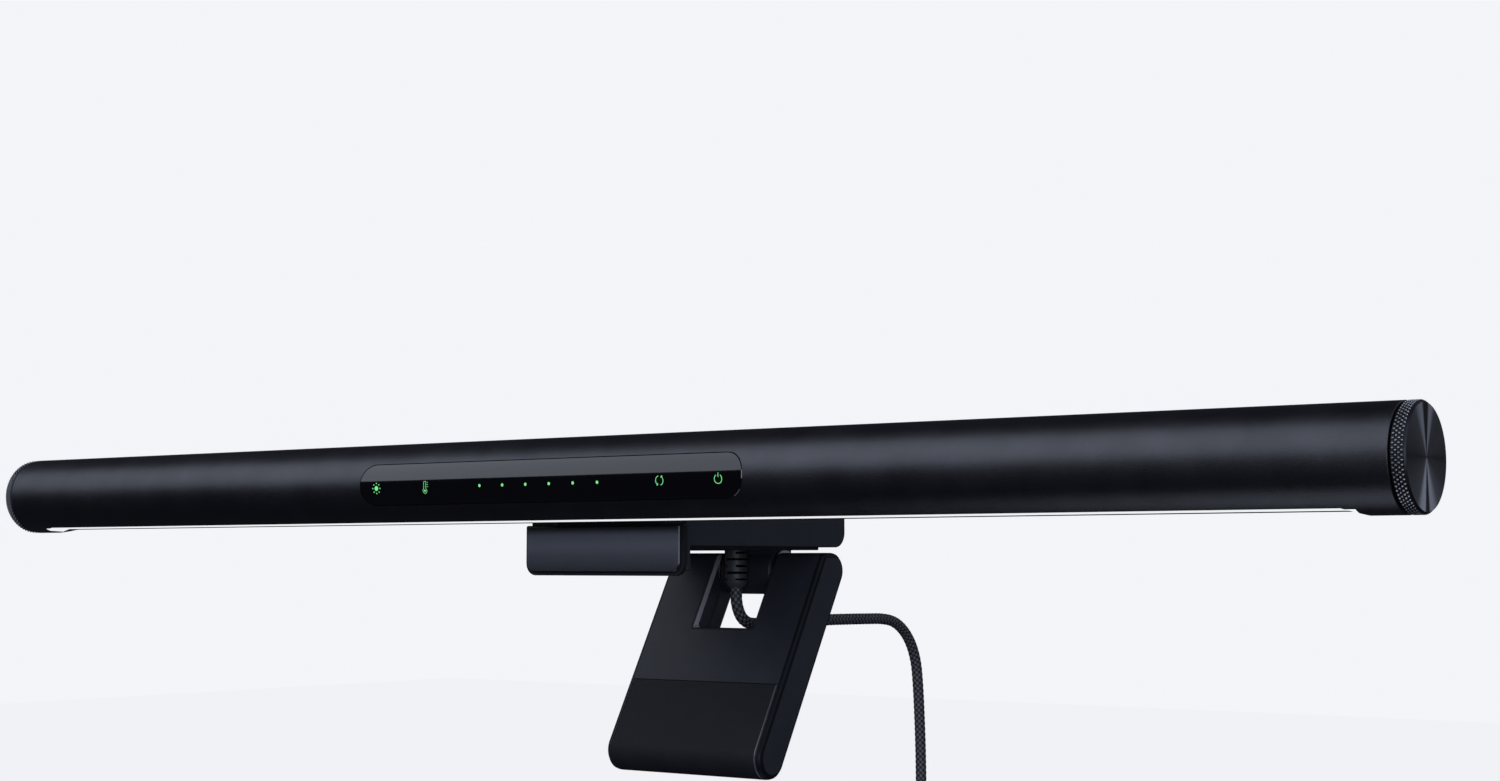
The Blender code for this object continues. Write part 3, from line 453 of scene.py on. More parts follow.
def arc(centre, radius, start, end, count):
    points = []
    for i in range(count + 1):
        angle = math.radians(start + (end - start) * i / count)
        points.append((centre[0] + radius * math.cos(angle), centre[1] + radius * math.sin(angle)))
    return points


def circle(centre, radius, count):
    return arc(centre, radius, 0, 360, count)[:-1]


def sector(inner, outer, middle, half, count=32):
    """A piece of a ring's outline, half degrees each side of middle."""
    first, last = middle - half, middle + half
    return arc((0, 0), outer, first, last, count) + arc((0, 0), inner, last, first, count)


def rounded(low, high, radii, steps=8):
    """A rectangle's outline; radii are of its corners low-low, high-low, high-high and low-high."""
    (x0, y0), (x1, y1) = low, high
    spots = ((x0, y0, 1, 1, 180), (x1, y0, -1, 1, 270), (x1, y1, -1, -1, 0), (x0, y1, 1, -1, 90))
    points = []
    for (x, y, in_x, in_y, start), r in zip(spots, radii):
        points += arc((x + in_x * r, y + in_y * r), r, start, start + 90, steps) if r else [(x, y)]
    return points


def join_rings(bm, a, b):
    """A band of faces between two rings of as many vertices."""
    for i in range(len(a)):
        j = (i + 1) % len(a)
        bm.faces.new((a[i], a[j], b[j], b[i]))


def prism(axis, outline, low, high):
    """An outline in the plane across the axis, drawn out along it from low to high."""
    along = "xyz".index(axis)
    bm = bmesh.new()
    rings = []
    for level in (low, high):
        ring = []
        for point in outline:
            spot = list(point)
            spot.insert(along, level)
            ring.append(bm.verts.new(spot))
        rings.append(ring)
    bm.faces.new(rings[0])
    bm.faces.new(rings[1])
    join_rings(bm, *rings)
    return bm


def block(low, high):
    (x0, y0, z0), (x1, y1, z1) = low, high
    return prism("z", [(x0, y0), (x1, y0), (x1, y1), (x0, y1)], z0, z1)


def rod(axis, centre, radius, low, high, count=32):
    return prism(axis, circle(centre, radius, count), low, high)


def turned(axis, centre, profile, count):
    """A solid of revolution through (along, radius) points, or a ring if neither end is on the axis."""
    along = "xyz".index(axis)
    others = [i for i in range(3) if i != along]
    bm = bmesh.new()
    rings = []
    for level, radius in profile:
        ring = []
        for i in range(count if radius > 0 else 1):
            angle = 2 * math.pi * i / count
            spot = [0.0, 0.0, 0.0]
            spot[along] = level
            spot[others[0]] = centre[0] + radius * math.cos(angle)
            spot[others[1]] = centre[1] + radius * math.sin(angle)
            ring.append(bm.verts.new(spot))
        rings.append(ring)
    pairs = list(zip(rings, rings[1:]))
    if len(rings[0]) > 1 and len(rings[-1]) > 1:
        pairs.append((rings[-1], rings[0]))
    for lower, upper in pairs:
        for i in range(count):
            j = (i + 1) % count
            inner = [lower[i % len(lower)], lower[j % len(lower)]]
            outer = [upper[j % len(upper)], upper[i % len(upper)]]
            bm.faces.new(list(dict.fromkeys(inner + outer)))
    return bm


def raw(name, bm, matrix):
    """An object from a bmesh in millimetres."""
    bmesh.ops.recalc_face_normals(bm, faces=bm.faces)
    bmesh.ops.transform(bm, matrix=matrix, verts=bm.verts)
    mesh = bpy.data.meshes.new(name)
    bm.to_mesh(mesh)
    bm.free()
    return new_object(name, mesh)


def freeze(obj):
    """Applies an object's modifiers."""
    graph = bpy.context.evaluated_depsgraph_get()
    mesh = bpy.data.meshes.new_from_object(obj.evaluated_get(graph))
    obj.modifiers.clear()
    old = obj.data
    obj.data = mesh
    bpy.data.meshes.remove(old)
    mesh.name = obj.name


def shape(obj, steps, matrix):
    """Carries out steps: (operation, bmesh[, matrix]) or ("BEVEL", width in mm, segments[, angle])."""
    helpers = []
    for step in steps:
        if step[0] == "BEVEL":
            weld = obj.modifiers.new("weld", "WELD")
            weld.merge_threshold = 2e-6
            bevel = obj.modifiers.new("bevel", "BEVEL")
            bevel.width = step[1] * MM
            bevel.segments = step[2]
            bevel.limit_method = "ANGLE"
            bevel.angle_limit = math.radians(step[3] if len(step) > 3 else 40)
            bevel.harden_normals = False
            continue
        other = raw(f"{obj.name}_helper_{len(helpers)}", step[1], step[2] if len(step) > 2 else matrix)
        helpers.append(other)
        boolean = obj.modifiers.new("boolean", "BOOLEAN")
        boolean.operation = step[0]
        boolean.solver = "EXACT"
        boolean.object = other
    freeze(obj)
    for other in helpers:
        bpy.data.objects.remove(other)


def piece(name, bm, body, paint, stands_for=(), steps=(), matrix=BAR, angle=32, weighted=True):
    """A finished piece: shaped, smoothed, tied to its body and put in place of the nodes it stands for."""
    obj = raw(name, bm, matrix)
    if steps:
        shape(obj, steps, matrix)
    mesh = obj.data
    mesh.materials.clear()
    mesh.materials.append(paint)
    mesh.shade_smooth()
    mesh.set_sharp_from_angle(angle=math.radians(angle))
    if weighted:
        modifier = obj.modifiers.new("even_normals", "WEIGHTED_NORMAL")
        modifier.keep_sharp = True
    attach(obj, body)
    if stands_for:
        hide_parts(*stands_for)
    return obj


def recolour(obj, paint, test):
    """Gives the faces for which test(centre, normal) is true a second material."""
    obj.data.materials.append(paint)
    last = len(obj.data.materials) - 1
    for face in obj.data.polygons:
        if test(face.center, face.normal):
            face.material_index = last


# ---- lamp

def tube(paint):
    edge = TUBE_R - 0.15
    profile = [(-TUBE_HALF, BORE_R), (-TUBE_HALF, edge), (-TUBE_HALF + 0.15, TUBE_R),
               (TUBE_HALF - 0.15, TUBE_R), (TUBE_HALF, edge), (TUBE_HALF, BORE_R)]
    deep = TUBE_R + 2
    foot = TUBE_R + 0.05
    flat = [(-FLAT_HALF - RAMP, -foot), (-FLAT_HALF, -FLAT_DEPTH), (FLAT_HALF, -FLAT_DEPTH),
            (FLAT_HALF + RAMP, -foot), (FLAT_HALF + RAMP, -deep), (-FLAT_HALF - RAMP, -deep)]
    pocket = wrapped_plate(PANEL_HALF + 0.12, PANEL_ANGLE + 0.6, PANEL_CORNER + 0.1, PANEL_FLOOR_R,
                           TUBE_R + 1.5)
    steps = [(CUT, prism("y", flat, -TUBE_R, TUBE_R), FLAT),
             (CUT, block((-SLOT_HALF, SLOT_FRONT, -13), (SLOT_HALF, SLOT_REAR, -7.5)), FLAT),
             (CUT, pocket)]
    wall = (8.5, 13)  # radii that reach through the tube's wall
    for side in (-1, 1):
        x0, x1 = sorted(side * (x + way) for x, way in zip(REAR_LENS_X, (-GAP, GAP)))
        steps.append((CUT, prism("x", sector(*wall, 0, 16, 24), x0, x1)))
        screw = side * 12.0
        steps.append((CUT, prism("x", sector(*wall, 0, 28, 24), screw - 1.4, screw + 1.4)))
    steps.append((CUT, prism("x", sector(*wall, -22, 28.8, 24), -2.2, 2.2)))
    piece("tube_skin", turned("x", (0, 0), profile, 224), "light_bar", paint,
          ["tube_housing"], steps, angle=14, weighted=False)


def wrapped_plate(half, half_angle, corner, inner, outer, chamfer=0.0, rows=36, columns=24):
    """A plate bent round the tube's front, with rounded corners and perhaps a chamfered outer face."""
    half_arc = math.radians(half_angle) * TUBE_R
    offsets = [-half_arc + 2 * half_arc * i / rows for i in range(rows + 1)]
    bend = [corner * (1 - math.cos(math.pi / 2 * i / 10)) for i in range(11)]
    offsets = sorted(set([round(o, 5) for o in offsets if abs(o) < half_arc - corner]
                         + [round(s * (half_arc - b), 5) for b in bend for s in (-1, 1)]))

    def inset(offset):
        into = corner - (half_arc - abs(offset))
        return corner - math.sqrt(max(corner**2 - into**2, 0)) if into > 0 else 0.0

    bm = bmesh.new()

    def layer(radius, shrink):
        grid = []
        for offset in offsets:
            x_end = half - inset(offset)
            k_x, k_s = (half - shrink) / half, (half_arc - shrink) / half_arc
            angle = math.radians(FRONT) - offset * k_s / TUBE_R
            row = []
            for i in range(columns + 1):
                x = (-1 + 2 * i / columns) * x_end * k_x
                row.append(bm.verts.new((x, radius * math.cos(angle), radius * math.sin(angle))))
            grid.append(row)
        return grid

    layers = [layer(inner, 0), layer(outer - chamfer, 0)]
    if chamfer:
        layers.append(layer(outer, chamfer * 1.3))
    for grid in (layers[0], layers[-1]):
        for a, b in zip(grid, grid[1:]):
            for i in range(columns):
                bm.faces.new((a[i], a[i + 1], b[i + 1], b[i]))
    for lower, upper in zip(layers, layers[1:]):
        rims = []
        for grid in (lower, upper):
            right, left = [row[-1] for row in grid[1:-1]], [row[0] for row in grid[-2:0:-1]]
            rims.append(grid[0] + right + grid[-1][::-1] + left)
        join_rings(bm, *rims)
    return bm


def stroke(bm, points, width, closed=False, base=TUBE_R - 0.02, top=TUBE_R + 0.035):
    """A thin raised line on the panel through (x, z) points."""
    count = len(points)
    sides = []
    for i, p in enumerate(points):
        before = points[i - 1] if i or closed else p
        after = points[(i + 1) % count] if i < count - 1 or closed else p
        along = (Vector(after) - Vector(before)).normalized()
        across = Vector((-along.y, along.x)) * width / 2
        sides.append((Vector(p) + across, Vector(p) - across))

    def on_panel(p, radius):
        angle = math.radians(FRONT) - p.y / TUBE_R
        return bm.verts.new((p.x, radius * math.cos(angle), radius * math.sin(angle)))

    rings = []
    for left, right in sides:
        rings.append([on_panel(left, base), on_panel(right, base), on_panel(right, top), on_panel(left, top)])
    for a, b in zip(rings, rings[1:] + rings[:1] if closed else rings[1:]):
        join_rings(bm, a, b)
    if not closed:
        bm.faces.new(rings[0])
        bm.faces.new(rings[-1])


def dot(bm, centre, radius):
    stroke(bm, arc(centre, radius * 0.52, 0, 360, 14)[:-1], radius * 0.96, closed=True)


def sun_symbol(bm, x):
    centre = Vector((x, SYMBOL_Z))
    dot(bm, centre, 0.66)
    for i in range(8):
        way = Vector((math.cos(math.pi * i / 4), math.sin(math.pi * i / 4)))
        dot(bm, centre + way * 1.36, 0.17)


def thermometer_symbol(bm, x):
    bulb, top = (x, SYMBOL_Z - 0.95), (x, SYMBOL_Z + 1.15)
    dot(bm, bulb, 0.28)
    stroke(bm, arc(bulb, 0.70, -238, 58, 16) + arc(top, 0.40, 0, 180, 8), THIN_LINE, closed=True)
    for rise in (0.1, 0.7, 1.3):
        stroke(bm, [(x + 0.75, SYMBOL_Z + rise), (x + 1.15, SYMBOL_Z + rise)], THIN_LINE)


def cycle_symbol(bm, x):
    for turn in (90, 270):
        points = arc((x, SYMBOL_Z), 1.16, turn + 15, turn + 150, 16)
        stroke(bm, points, SYMBOL_LINE)
        tip = Vector(points[-1])
        heading = Vector((math.cos(math.radians(turn + 240)), math.sin(math.radians(turn + 240))))
        side = Vector((-heading.y, heading.x))
        for way in (side, -side):
            stroke(bm, [tip - heading * 0.22 + way * 0.30, tip + heading * 0.04], SYMBOL_LINE)


def power_symbol(bm, x):
    stroke(bm, arc((x, SYMBOL_Z), 1.12, 125, 415, 22), SYMBOL_LINE)
    stroke(bm, [(x, SYMBOL_Z + 0.45), (x, SYMBOL_Z + 1.5)], SYMBOL_LINE)


def symbols():
    """The touch strip's symbols: brightness, colour temperature, six steps, cycle and power."""
    bm = bmesh.new()
    sun_symbol(bm, -58.4)
    thermometer_symbol(bm, -40.2)
    for step in range(6):
        dot(bm, (-20.35 + 8.01 * step, SYMBOL_Z), 0.40)
    cycle_symbol(bm, 39.6)
    power_symbol(bm, 57.6)
    return bm


def knurled_cap(name, side, node, ring_paint, face_paint, tip_paint):
    """An end cap: a rim covered in staggered points, and a spun face with a fine chamfer."""
    around, rows = KNURL_POINTS * 10, 32
    x_in, x_out = BAR_HALF - CAP_WIDTH, BAR_HALF - 0.22
    bm = bmesh.new()
    rings = []

    def ring(x, radius_of):
        made = []
        for i in range(around):
            turn = 2 * math.pi * i / around
            radius = radius_of(turn) if callable(radius_of) else radius_of
            made.append(bm.verts.new((side * x, radius * math.cos(turn), radius * math.sin(turn))))
        rings.append(made)

    ring(x_in, 3.0)
    ring(x_in, 10.9)
    ring(x_in + 0.12, 11.0)
    for row in range(rows + 1):
        x = x_in + 0.16 + (x_out - x_in - 0.24) * row / rows
        edge = min(1.0, 9.0 * min(row, rows - row) / rows)

        def knurl(turn, x=x, edge=edge):
            bump = math.cos(KNURL_POINTS * turn) * math.cos(2 * math.pi * (x - x_in) / KNURL_PITCH)
            return 11.05 + 0.35 * max(0.0, min(1.0, 0.25 + 1.2 * bump)) * edge

        ring(x, knurl)
    ring(x_out, 11.0)
    ring(BAR_HALF, 10.82)
    for radius in (9.5, 7.5, 5.5, 3.5, 1.6, 0.5):
        ring(BAR_HALF, radius)
    for lower, upper in zip(rings, rings[1:]):
        join_rings(bm, lower, upper)
    bm.faces.new(rings[-1])
    bm.faces.new(rings[0])
    obj = piece(name, bm, "light_bar", ring_paint, [node], angle=40, weighted=False)
    face_from, tip_from = (BAR_HALF - 0.01) * MM, 11.29 * MM
    # the end face takes the spun metal with its painted highlights
    recolour(obj, face_paint, lambda centre, _: abs(centre.x) >= face_from)
    recolour(obj, tip_paint, lambda centre, _: math.hypot(centre.y - AXIS.y, centre.z - AXIS.z) > tip_from)


def front_lens(paint):
    """The lit strip in the flat under the tube."""
    half, back = SLOT_HALF - GAP, -8.6
    foot = FLAT_DEPTH + (half - FLAT_HALF) * (TUBE_R - FLAT_DEPTH) / RAMP
    outline = [(-half, -foot), (-FLAT_HALF, -FLAT_DEPTH), (FLAT_HALF, -FLAT_DEPTH), (half, -foot),
               (half, back), (-half, back)]
    steps = [("INTERSECT", rod("x", (0, 0), TUBE_R - 0.02, -SLOT_HALF, SLOT_HALF, 160))]
    lens = piece("front_lens", prism("y", outline, SLOT_FRONT + GAP, SLOT_REAR - GAP), "light_bar", paint,
                 ["front_diffuser"], steps, FLAT)
    lens.visible_diffuse = False


def lamp(paints):
    tube(paints["anodised"])
    glass = wrapped_plate(PANEL_HALF, PANEL_ANGLE, PANEL_CORNER, PANEL_FLOOR_R + GAP, TUBE_R, 0.11)
    piece("touch_glass", glass, "light_bar", paints["gloss"], ["touch_panel"], angle=25,
          weighted=False)
    piece("touch_symbols", symbols(), "light_bar", paints["symbol"], angle=60, weighted=False)
    for side, name in ((-1, "left"), (1, "right")):
        x0, x1 = sorted(side * x for x in REAR_LENS_X)
        strip = prism("x", sector(10.2, TUBE_R, 0, REAR_LENS_ANGLE, 24), x0, x1)
        piece(f"rear_lens_{name}", strip, "light_bar", paints["rainbow"],
              [f"rear_diffuser_{name}"], [("BEVEL", 0.15, 2)])
        knurled_cap(f"knurled_cap_{name}", side, f"end_cap_{name}", paints["gunmetal"], paints["spun"],
                    paints["knurl_tip"])
    front_lens(paints["lit_lens"])


# ---- clamp

def bridge(paint):
    front, back = BRIDGE_FRONT, BRIDGE_REAR
    side = [(front, TRAY_TOP), (front, LIP_FOOT), (front + 1.6, LIP_FOOT), (front + 1.6, TRAY_FOOT)]
    side += arc((back - 4.2, -12.3), 4.2, -90, 0, 20) + [(back, TRAY_TOP)]
    inside = HALF_WIDTH - 1.8
    steps = [(CUT, block((-inside, front + 1.9, -14.1), (inside, back - 2, 0))),
             (CUT, block((-SADDLE_HALF - GAP, 10, -10.4), (SADDLE_HALF + GAP, front + 2.6, 0))),
             ("BEVEL", 0.35, 3),
             (CUT, block((-25.5, 18.8, -18), (25.5, 75.8, -15.9))),
             (CUT, block((-23.8, front + 1.0, -22.0), (23.8, front + 2.6, -17.6))),
             (CUT, rod("z", (0, CORD_Y), 3.6, -20, -15.9)),
             (CUT, rod("z", (0, CORD_Y), 3.0, -20, -10)),
             (CUT, block((-6.3, 76.9, -20), (6.3, 82.9, -10)))]
    steps += [(CUT, rod("z", spot, POST_R, -18, -14.9, 24)) for spot in COVER_POSTS]
    piece("bridge_tray", prism("x", side, -HALF_WIDTH, HALF_WIDTH), "clamp", paint,
          ["bridge_body"], steps)

    corner = arc((back - 2.2, LID_FOOT), 2.2, 0, 90, 14)
    lid = [(front, LID_FOOT), (back, LID_FOOT), *corner, (front, LID_TOP)]
    steps = [("BEVEL", 0.35, 3)]
    steps += [("UNION", rod("z", spot, POST_R, -13.8, -6.2, 24)) for spot in COVER_POSTS]
    piece("bridge_lid", prism("x", lid, -HALF_WIDTH, HALF_WIDTH), "clamp", paint,
          ["bridge_cover"], steps)


def lip(paints):
    """The metal plate on the clamp's front, the rubber behind it, and the pad against the screen."""
    face = prism("y", rounded((-26.2, PLATE_Z[0]), (26.2, PLATE_Z[1]), (2.6, 2.6, 0.3, 0.3)), 12.9, 13.5)
    # the plate's finish carries painted light: a painted highlight band and a painted shadow at its top
    plate = piece("lip_face_plate", face, "clamp", paints["plate"], ["lip_plate"],
                  [("BEVEL", 0.28, 1)])
    recolour(plate, paints["bright_edge"], lambda _, normal: -0.95 < normal.y < -0.3)
    backing = prism("y", rounded((-27.1, -24.1), (27.1, -10.9), (3.2, 3.2, 0.5, 0.5)), 13.8, 15.2)
    piece("lip_backing", backing, "clamp", paints["rubber"], ["lip_gasket"],
          [("BEVEL", 0.2, 2)])
    cushion = block((-23.5, BRIDGE_FRONT + 1.3, -21.7), (23.5, 18.0, -17.9))
    piece("lip_cushion", cushion, "clamp", paints["rubber"], ["lip_pad"],
          [("BEVEL", 0.25, 2)])


def rest_cushion(paint):
    """The ribbed pad that lies on the screen, with a notch round the strain relief."""
    half, (front, back), (foot, top) = REST_PAD_HALF, REST_PAD_Y, REST_PAD_Z
    notch, notch_y, rib_half = 4.3, 66.6, 23.0
    outline = [(-half, front), (half, front), (half, back), (notch, back), (notch, notch_y),
               (-notch, notch_y), (-notch, back), (-half, back)]
    steps = [("BEVEL", 0.2, 2)]
    for number in range(17):
        y = 21.6 + 2.6 * number
        steps.append((CUT, block((-rib_half, y, -17.8), (rib_half, y + 0.7, -17.08))))
    piece("rest_cushion", prism("z", outline, foot, top), "clamp", paint, ["rest_pad"],
          steps)


def saddle(paint):
    back = BRIDGE_FRONT - GAP
    cradle = arc((0, 0), 12.6, 42, -50, 48)
    cradle += [(9.2, -10.1), (30, -10.1), (30, -7.3), (back, -7.3), (back, 6.5), (13.4, 9.6), (10.6, 9.9)]
    steps = [(CUT, block((-1.6, 5, -12), (1.6, 40, -1.8))), ("BEVEL", 0.3, 2)]
    for side in (-1, 1):
        steps.append((CUT, rod("y", (side * 12, 0), 1.4, 5, 18)))
        steps.append((CUT, rod("y", (side * 12, 0), 2.3, 13.5, 18)))
        steps.append((CUT, rod("z", (side * 10, 25), 1.4, -12, -5)))
        steps.append((CUT, rod("z", (side * 10, 25), 2.4, -8.6, -5)))
    piece("saddle_block", prism("x", cradle, -SADDLE_HALF, SADDLE_HALF), "clamp", paint,
          ["saddle"], steps)


def knuckle(paint):
    """The hinge's barrel, its neck, and the tenon that goes up into the bridge."""
    centre, half = (HINGE_Y, HINGE_Z), BARREL_HALF
    profile = [(-half, 0), (-half, 5.9), (0.5 - half, 6.4), (half - 0.5, 6.4), (half, 5.9), (half, 0)]
    steps = [("UNION", block((-half, 77.0, HINGE_Z), (half, 85.1, -16.8))),
             ("UNION", block((-6, 77.2, -19), (6, 82.6, -14.3))),
             ("BEVEL", 0.3, 2),
             (CUT, rod("x", centre, 1.9, -12, 12)),
             (CUT, rod("x", centre, 4.3, -12, 2, 40))]
    piece("knuckle", turned("x", centre, profile, 72), "clamp", paint, ["hinge_knuckle"],
          steps)


def clamp(paints):
    bridge(paints["plastic"])
    lip(paints)
    rest_cushion(paints["rubber"])
    saddle(paints["plastic"])
    knuckle(paints["plastic"])
    boot(paints)


def boot(paints):
    """The strain relief: cut into staggered ribs, so that the cord bends gently as it leaves the bridge."""
    slots, pitch, height, rib_inner = 5, 1.87, 0.62, 1.9
    top, end = BOOT_TOP, BOOT_END
    profile = [(-12.6, 0), (-12.6, 3.7), (-13.8, 3.7), (-13.8, 2.7), (-16.2, 2.7), (-16.2, 3.3),
               (end + 1.4, 3.1), (end + 0.3, 2.25), (end, 2.0), (end, 1.72), (end + 1.2, 1.72),
               (end + 1.2, 0)]
    steps = []
    for i in range(slots):
        z = top - pitch * i
        for middle in ((-40, 140) if i % 2 else (10, 190)):
            outline = [(x, y + CORD_Y) for x, y in sector(rib_inner, 5, middle, 66, 16)]
            steps.append((CUT, prism("z", outline, z - height, z)))
    made = piece("cord_boot", turned("z", (0, CORD_Y), profile, 64), "clamp", paints["boot"],
                 ["strain_relief"], steps, angle=40, weighted=False)
    from_bar = BAR.inverted()

    def in_slot(centre, _):
        spot = from_bar @ centre
        return end + 1.7 < spot.z < top and math.hypot(spot.x, spot.y - CORD_Y) < 2.95

    # painted shade: the faces inside the slots are near black
    recolour(made, paints["deep_slot"], in_slot)


# ---- leg

def leg_outline():
    """The leg from its side, in its own frame."""
    tilt = math.radians(LEG_TILT)
    up = Vector((math.sin(tilt), math.cos(tilt)))
    heel = LEG_REAR - LEG_TOP_R
    front_top = (heel * up.x + LEG_TOP_R - up.x * LEG_FRONT) / up.y
    foot_r = (LEG_REAR - LEG_FRONT) / 2
    middle = (LEG_REAR + LEG_FRONT) / 2
    start = math.degrees(math.atan2(up.y, up.x))
    points = [(LEG_FRONT, front_top)]
    points += arc((heel, 0), LEG_TOP_R, start, 0, 24)
    points += arc((middle, LEG_FOOT), foot_r, 0, -180, 40)
    return points


def pad_outline(inner, outer, extra):
    """The pad from its side: down the front and round the foot, between two radii of the foot."""
    middle = (LEG_REAR + LEG_FRONT) / 2
    end = -55 + math.degrees(extra / outer)
    around = arc((middle, LEG_FOOT), outer, -180, end, 36)
    back = arc((middle, LEG_FOOT), inner, end, -180, 36)
    top = LEG_PAD_TOP + extra
    return [(middle - outer, top)] + around + back + [(middle - inner, top)]


def leg_shell(paints, foot_r):
    slot = [(-FORK_HALF, 12), (-FORK_HALF, FORK_FLOOR), (FORK_HALF, FORK_FLOOR), (FORK_HALF, 12)]
    wide, recess = FORK_HALF + 0.35, PAD_HALF + 0.12
    spring_pocket = sector(2.35, 4.3, 90 - LEG_TILT - 24, 34, 20)
    steps = [(CUT, prism("y", slot, -12, 12)),
             ("BEVEL", LEG_SOFTEN, 3, 45),
             (CUT, block((-wide, LEG_FRONT + 1.3, FORK_FLOOR + 0.6), (wide, PARTING, 12))),
             (CUT, rod("x", (0, 0), 1.9, -30, 21.8)),
             (CUT, prism("x", spring_pocket, -FORK_HALF - 1.6, -FORK_HALF + 1)),
             (CUT, prism("x", pad_outline(foot_r - 1.5, foot_r + 2, 0.12), -recess, recess)),
             (CUT, block((-22.5, LEG_REAR - 1.8, COVER_Z[0] - GAP), (22.5, 8, COVER_Z[1] + GAP)))]
    shell = piece("leg_shell", prism("x", leg_outline(), -HALF_WIDTH, HALF_WIDTH), "leg", paints["plastic"],
                  ["leg_body"], steps, LEG)
    to_leg = LEG.inverted()

    def outer_edge(centre, normal):
        return abs((to_leg @ centre).x) > HALF_WIDTH - 1.5 and 0.2 < abs(normal.x) < 0.97

    def slot_edge(centre, normal):
        spot = to_leg @ centre
        return abs(spot.x) < FORK_HALF + 1.5 and spot.y < LEG_FRONT + 1.5 and 0.3 < normal.x < 0.97

    # painted shade: the rounded outer edges take a darker finish
    recolour(shell, paints["edge_painted_shade"], outer_edge)
    # painted highlight: the fork's front chamfer takes a light grey
    recolour(shell, paints["edge_painted_highlight"], slot_edge)


def leg(paints):
    foot_r = (LEG_REAR - LEG_FRONT) / 2
    leg_shell(paints, foot_r)
    pad = prism("x", pad_outline(foot_r - 1.2, foot_r + 0.05, 0), -PAD_HALF, PAD_HALF)
    cushion = piece("leg_cushion", pad, "leg", paints["rubber"], ["leg_pad"],
                    [("BEVEL", 0.4, 2)], LEG)
    # painted highlight: the pad's right-facing edge takes a lighter finish
    recolour(cushion, paints["pad_edge_painted_highlight"], lambda _, normal: 0.25 < normal.x < 0.97)
    steps = [("BEVEL", 0.4, 3)]
    steps += [(CUT, rod("y", (0, z), 2.2, LEG_REAR - 0.9, 8)) for z in LEG_SCREWS]
    piece("leg_back_cover", block((-22.2, LEG_REAR - 1.5, COVER_Z[0]), (22.2, LEG_REAR, COVER_Z[1])), "leg",
          paints["plastic"], ["leg_cover"], steps, LEG)


# ---- cord

# y and z of the cord from the strain relief to the hank, all at x = 0
CORD_ROUTE = (
    (CORD_Y, -28.0), (CORD_Y, -29.4), (71.15, -31.6), (72.0, -34.0), (73.6, -36.1), (75.9, -37.4),
    (78.6, -37.9), (84.0, -38.0), (96.0, -37.8), (110.0, -37.6), (124.0, -37.6), (136.0, -37.7),
    (144.5, -37.9), (150.8, -38.9), (156.2, -41.6), (160.4, -45.8), (163.1, -51.2), (164.3, -57.5),
    (165.2, -68.0), (165.8, -80.0),
)


def ease(t, start=0.0, end=1.0):
    """A smooth run from 0 to 1 as t goes from start to end."""
    t = max(0.0, min(1.0, (t - start) / (end - start)))
    return t * t * (3 - 2 * t)


def hank_points():
    """The folded length: six turns in two layers of three, then out at the bottom to the plug."""
    run, centre = HANK_RUN / 2, HANK_CENTRE
    inner, mid, outer = (HANK_LOOP_R - CORD_R * k for k in (5, 3, 1))
    squeeze = HANK_LOOP_R - HANK_WAIST
    front, second, third, fourth = LAYERS

    def half_width(radius, height):
        return radius - squeeze * math.cos(math.pi / 2 * height / run) ** 2

    points = [(0, front, HANK_TOP + 0.5), (0, front, HANK_TOP - 6), (0, front + 0.3, HANK_TOP - 11)]
    start, entry = half_width(inner, 0), HANK_TOP - 11
    for i in range(1, 8):
        t = i / 8
        y = front + 0.3 + (fourth - front - 0.3) * ease(t, 0.0, 0.75)
        points.append((start * ease(t, 0.5, 1.0), y, entry + (centre - entry) * t))
    # the radius and layer that each turn starts from and moves to, and where on its way down it moves
    tracks = [(inner, fourth, mid, fourth, 0.55, 1.0), (mid, fourth, outer, fourth, 0.55, 1.0),
              (outer, fourth, outer, third, 0.3, 0.7), (outer, third, mid, third, 0.0, 0.45),
              (mid, third, inner, third, 0.0, 0.45), (inner, third, inner, second, 0.0, 0.28)]
    steps = 12
    for number, (r0, y0, r1, y1, first, last) in enumerate(tracks):
        for i in range(1 if number else steps // 2, steps + 1):
            height = run * (1 - 2 * i / steps)
            points.append((half_width(r0, height), y0, centre + height))
        for x, z in arc((0, centre - run), r0, 0, -180, 12)[1:]:
            points.append((x, y0, z))
        for i in range(1, steps + 1):
            height = -run + 2 * run * i / steps
            t = ease(i / steps, first, last)
            radius, y = r0 + (r1 - r0) * t, y0 + (y1 - y0) * t
            points.append((-half_width(radius, height), y, centre + height))
        for x, z in arc((0, centre + run), r1, 180, 0, 12)[1:]:
            points.append((x, y1, z))
    for i in range(1, 13):
        t = i / 13
        height = run * (1 - 2 * t)
        points.append((half_width(inner, height) * (1 - ease(t, 0.35, 1.0)), second, centre + height))
    points += [(0, second, z) for z in (centre - run - 3, HANK_BOTTOM + 6, HANK_BOTTOM - 0.3)]
    return points


def smooth_path(points, spacing):
    """Evenly spaced points on a smooth curve through the given ones."""
    points = [Vector(p) for p in points]
    ends = [2 * points[0] - points[1], *points, 2 * points[-1] - points[-2]]
    fine = []
    for a, b, c, d in zip(ends, ends[1:], ends[2:], ends[3:]):
        count = max(8, int((c - b).length / 0.25))
        for i in range(count):
            t = i / count
            fine.append(0.5 * ((2 * b) + (c - a) * t + (2 * a - 5 * b + 4 * c - d) * t**2
                               + (3 * b - a - 3 * c + d) * t**3))
    fine.append(points[-1])
    total = sum((q - p).length for p, q in zip(fine, fine[1:]))
    count = max(2, round(total / spacing))
    chosen, done, target = [fine[0]], 0.0, total / count
    for p, q in zip(fine, fine[1:]):
        step = (q - p).length
        while done + step >= target - 1e-9 and len(chosen) < count:
            chosen.append(p.lerp(q, (target - done) / step))
            target += total / count
        done += step
    chosen.append(fine[-1])
    return chosen


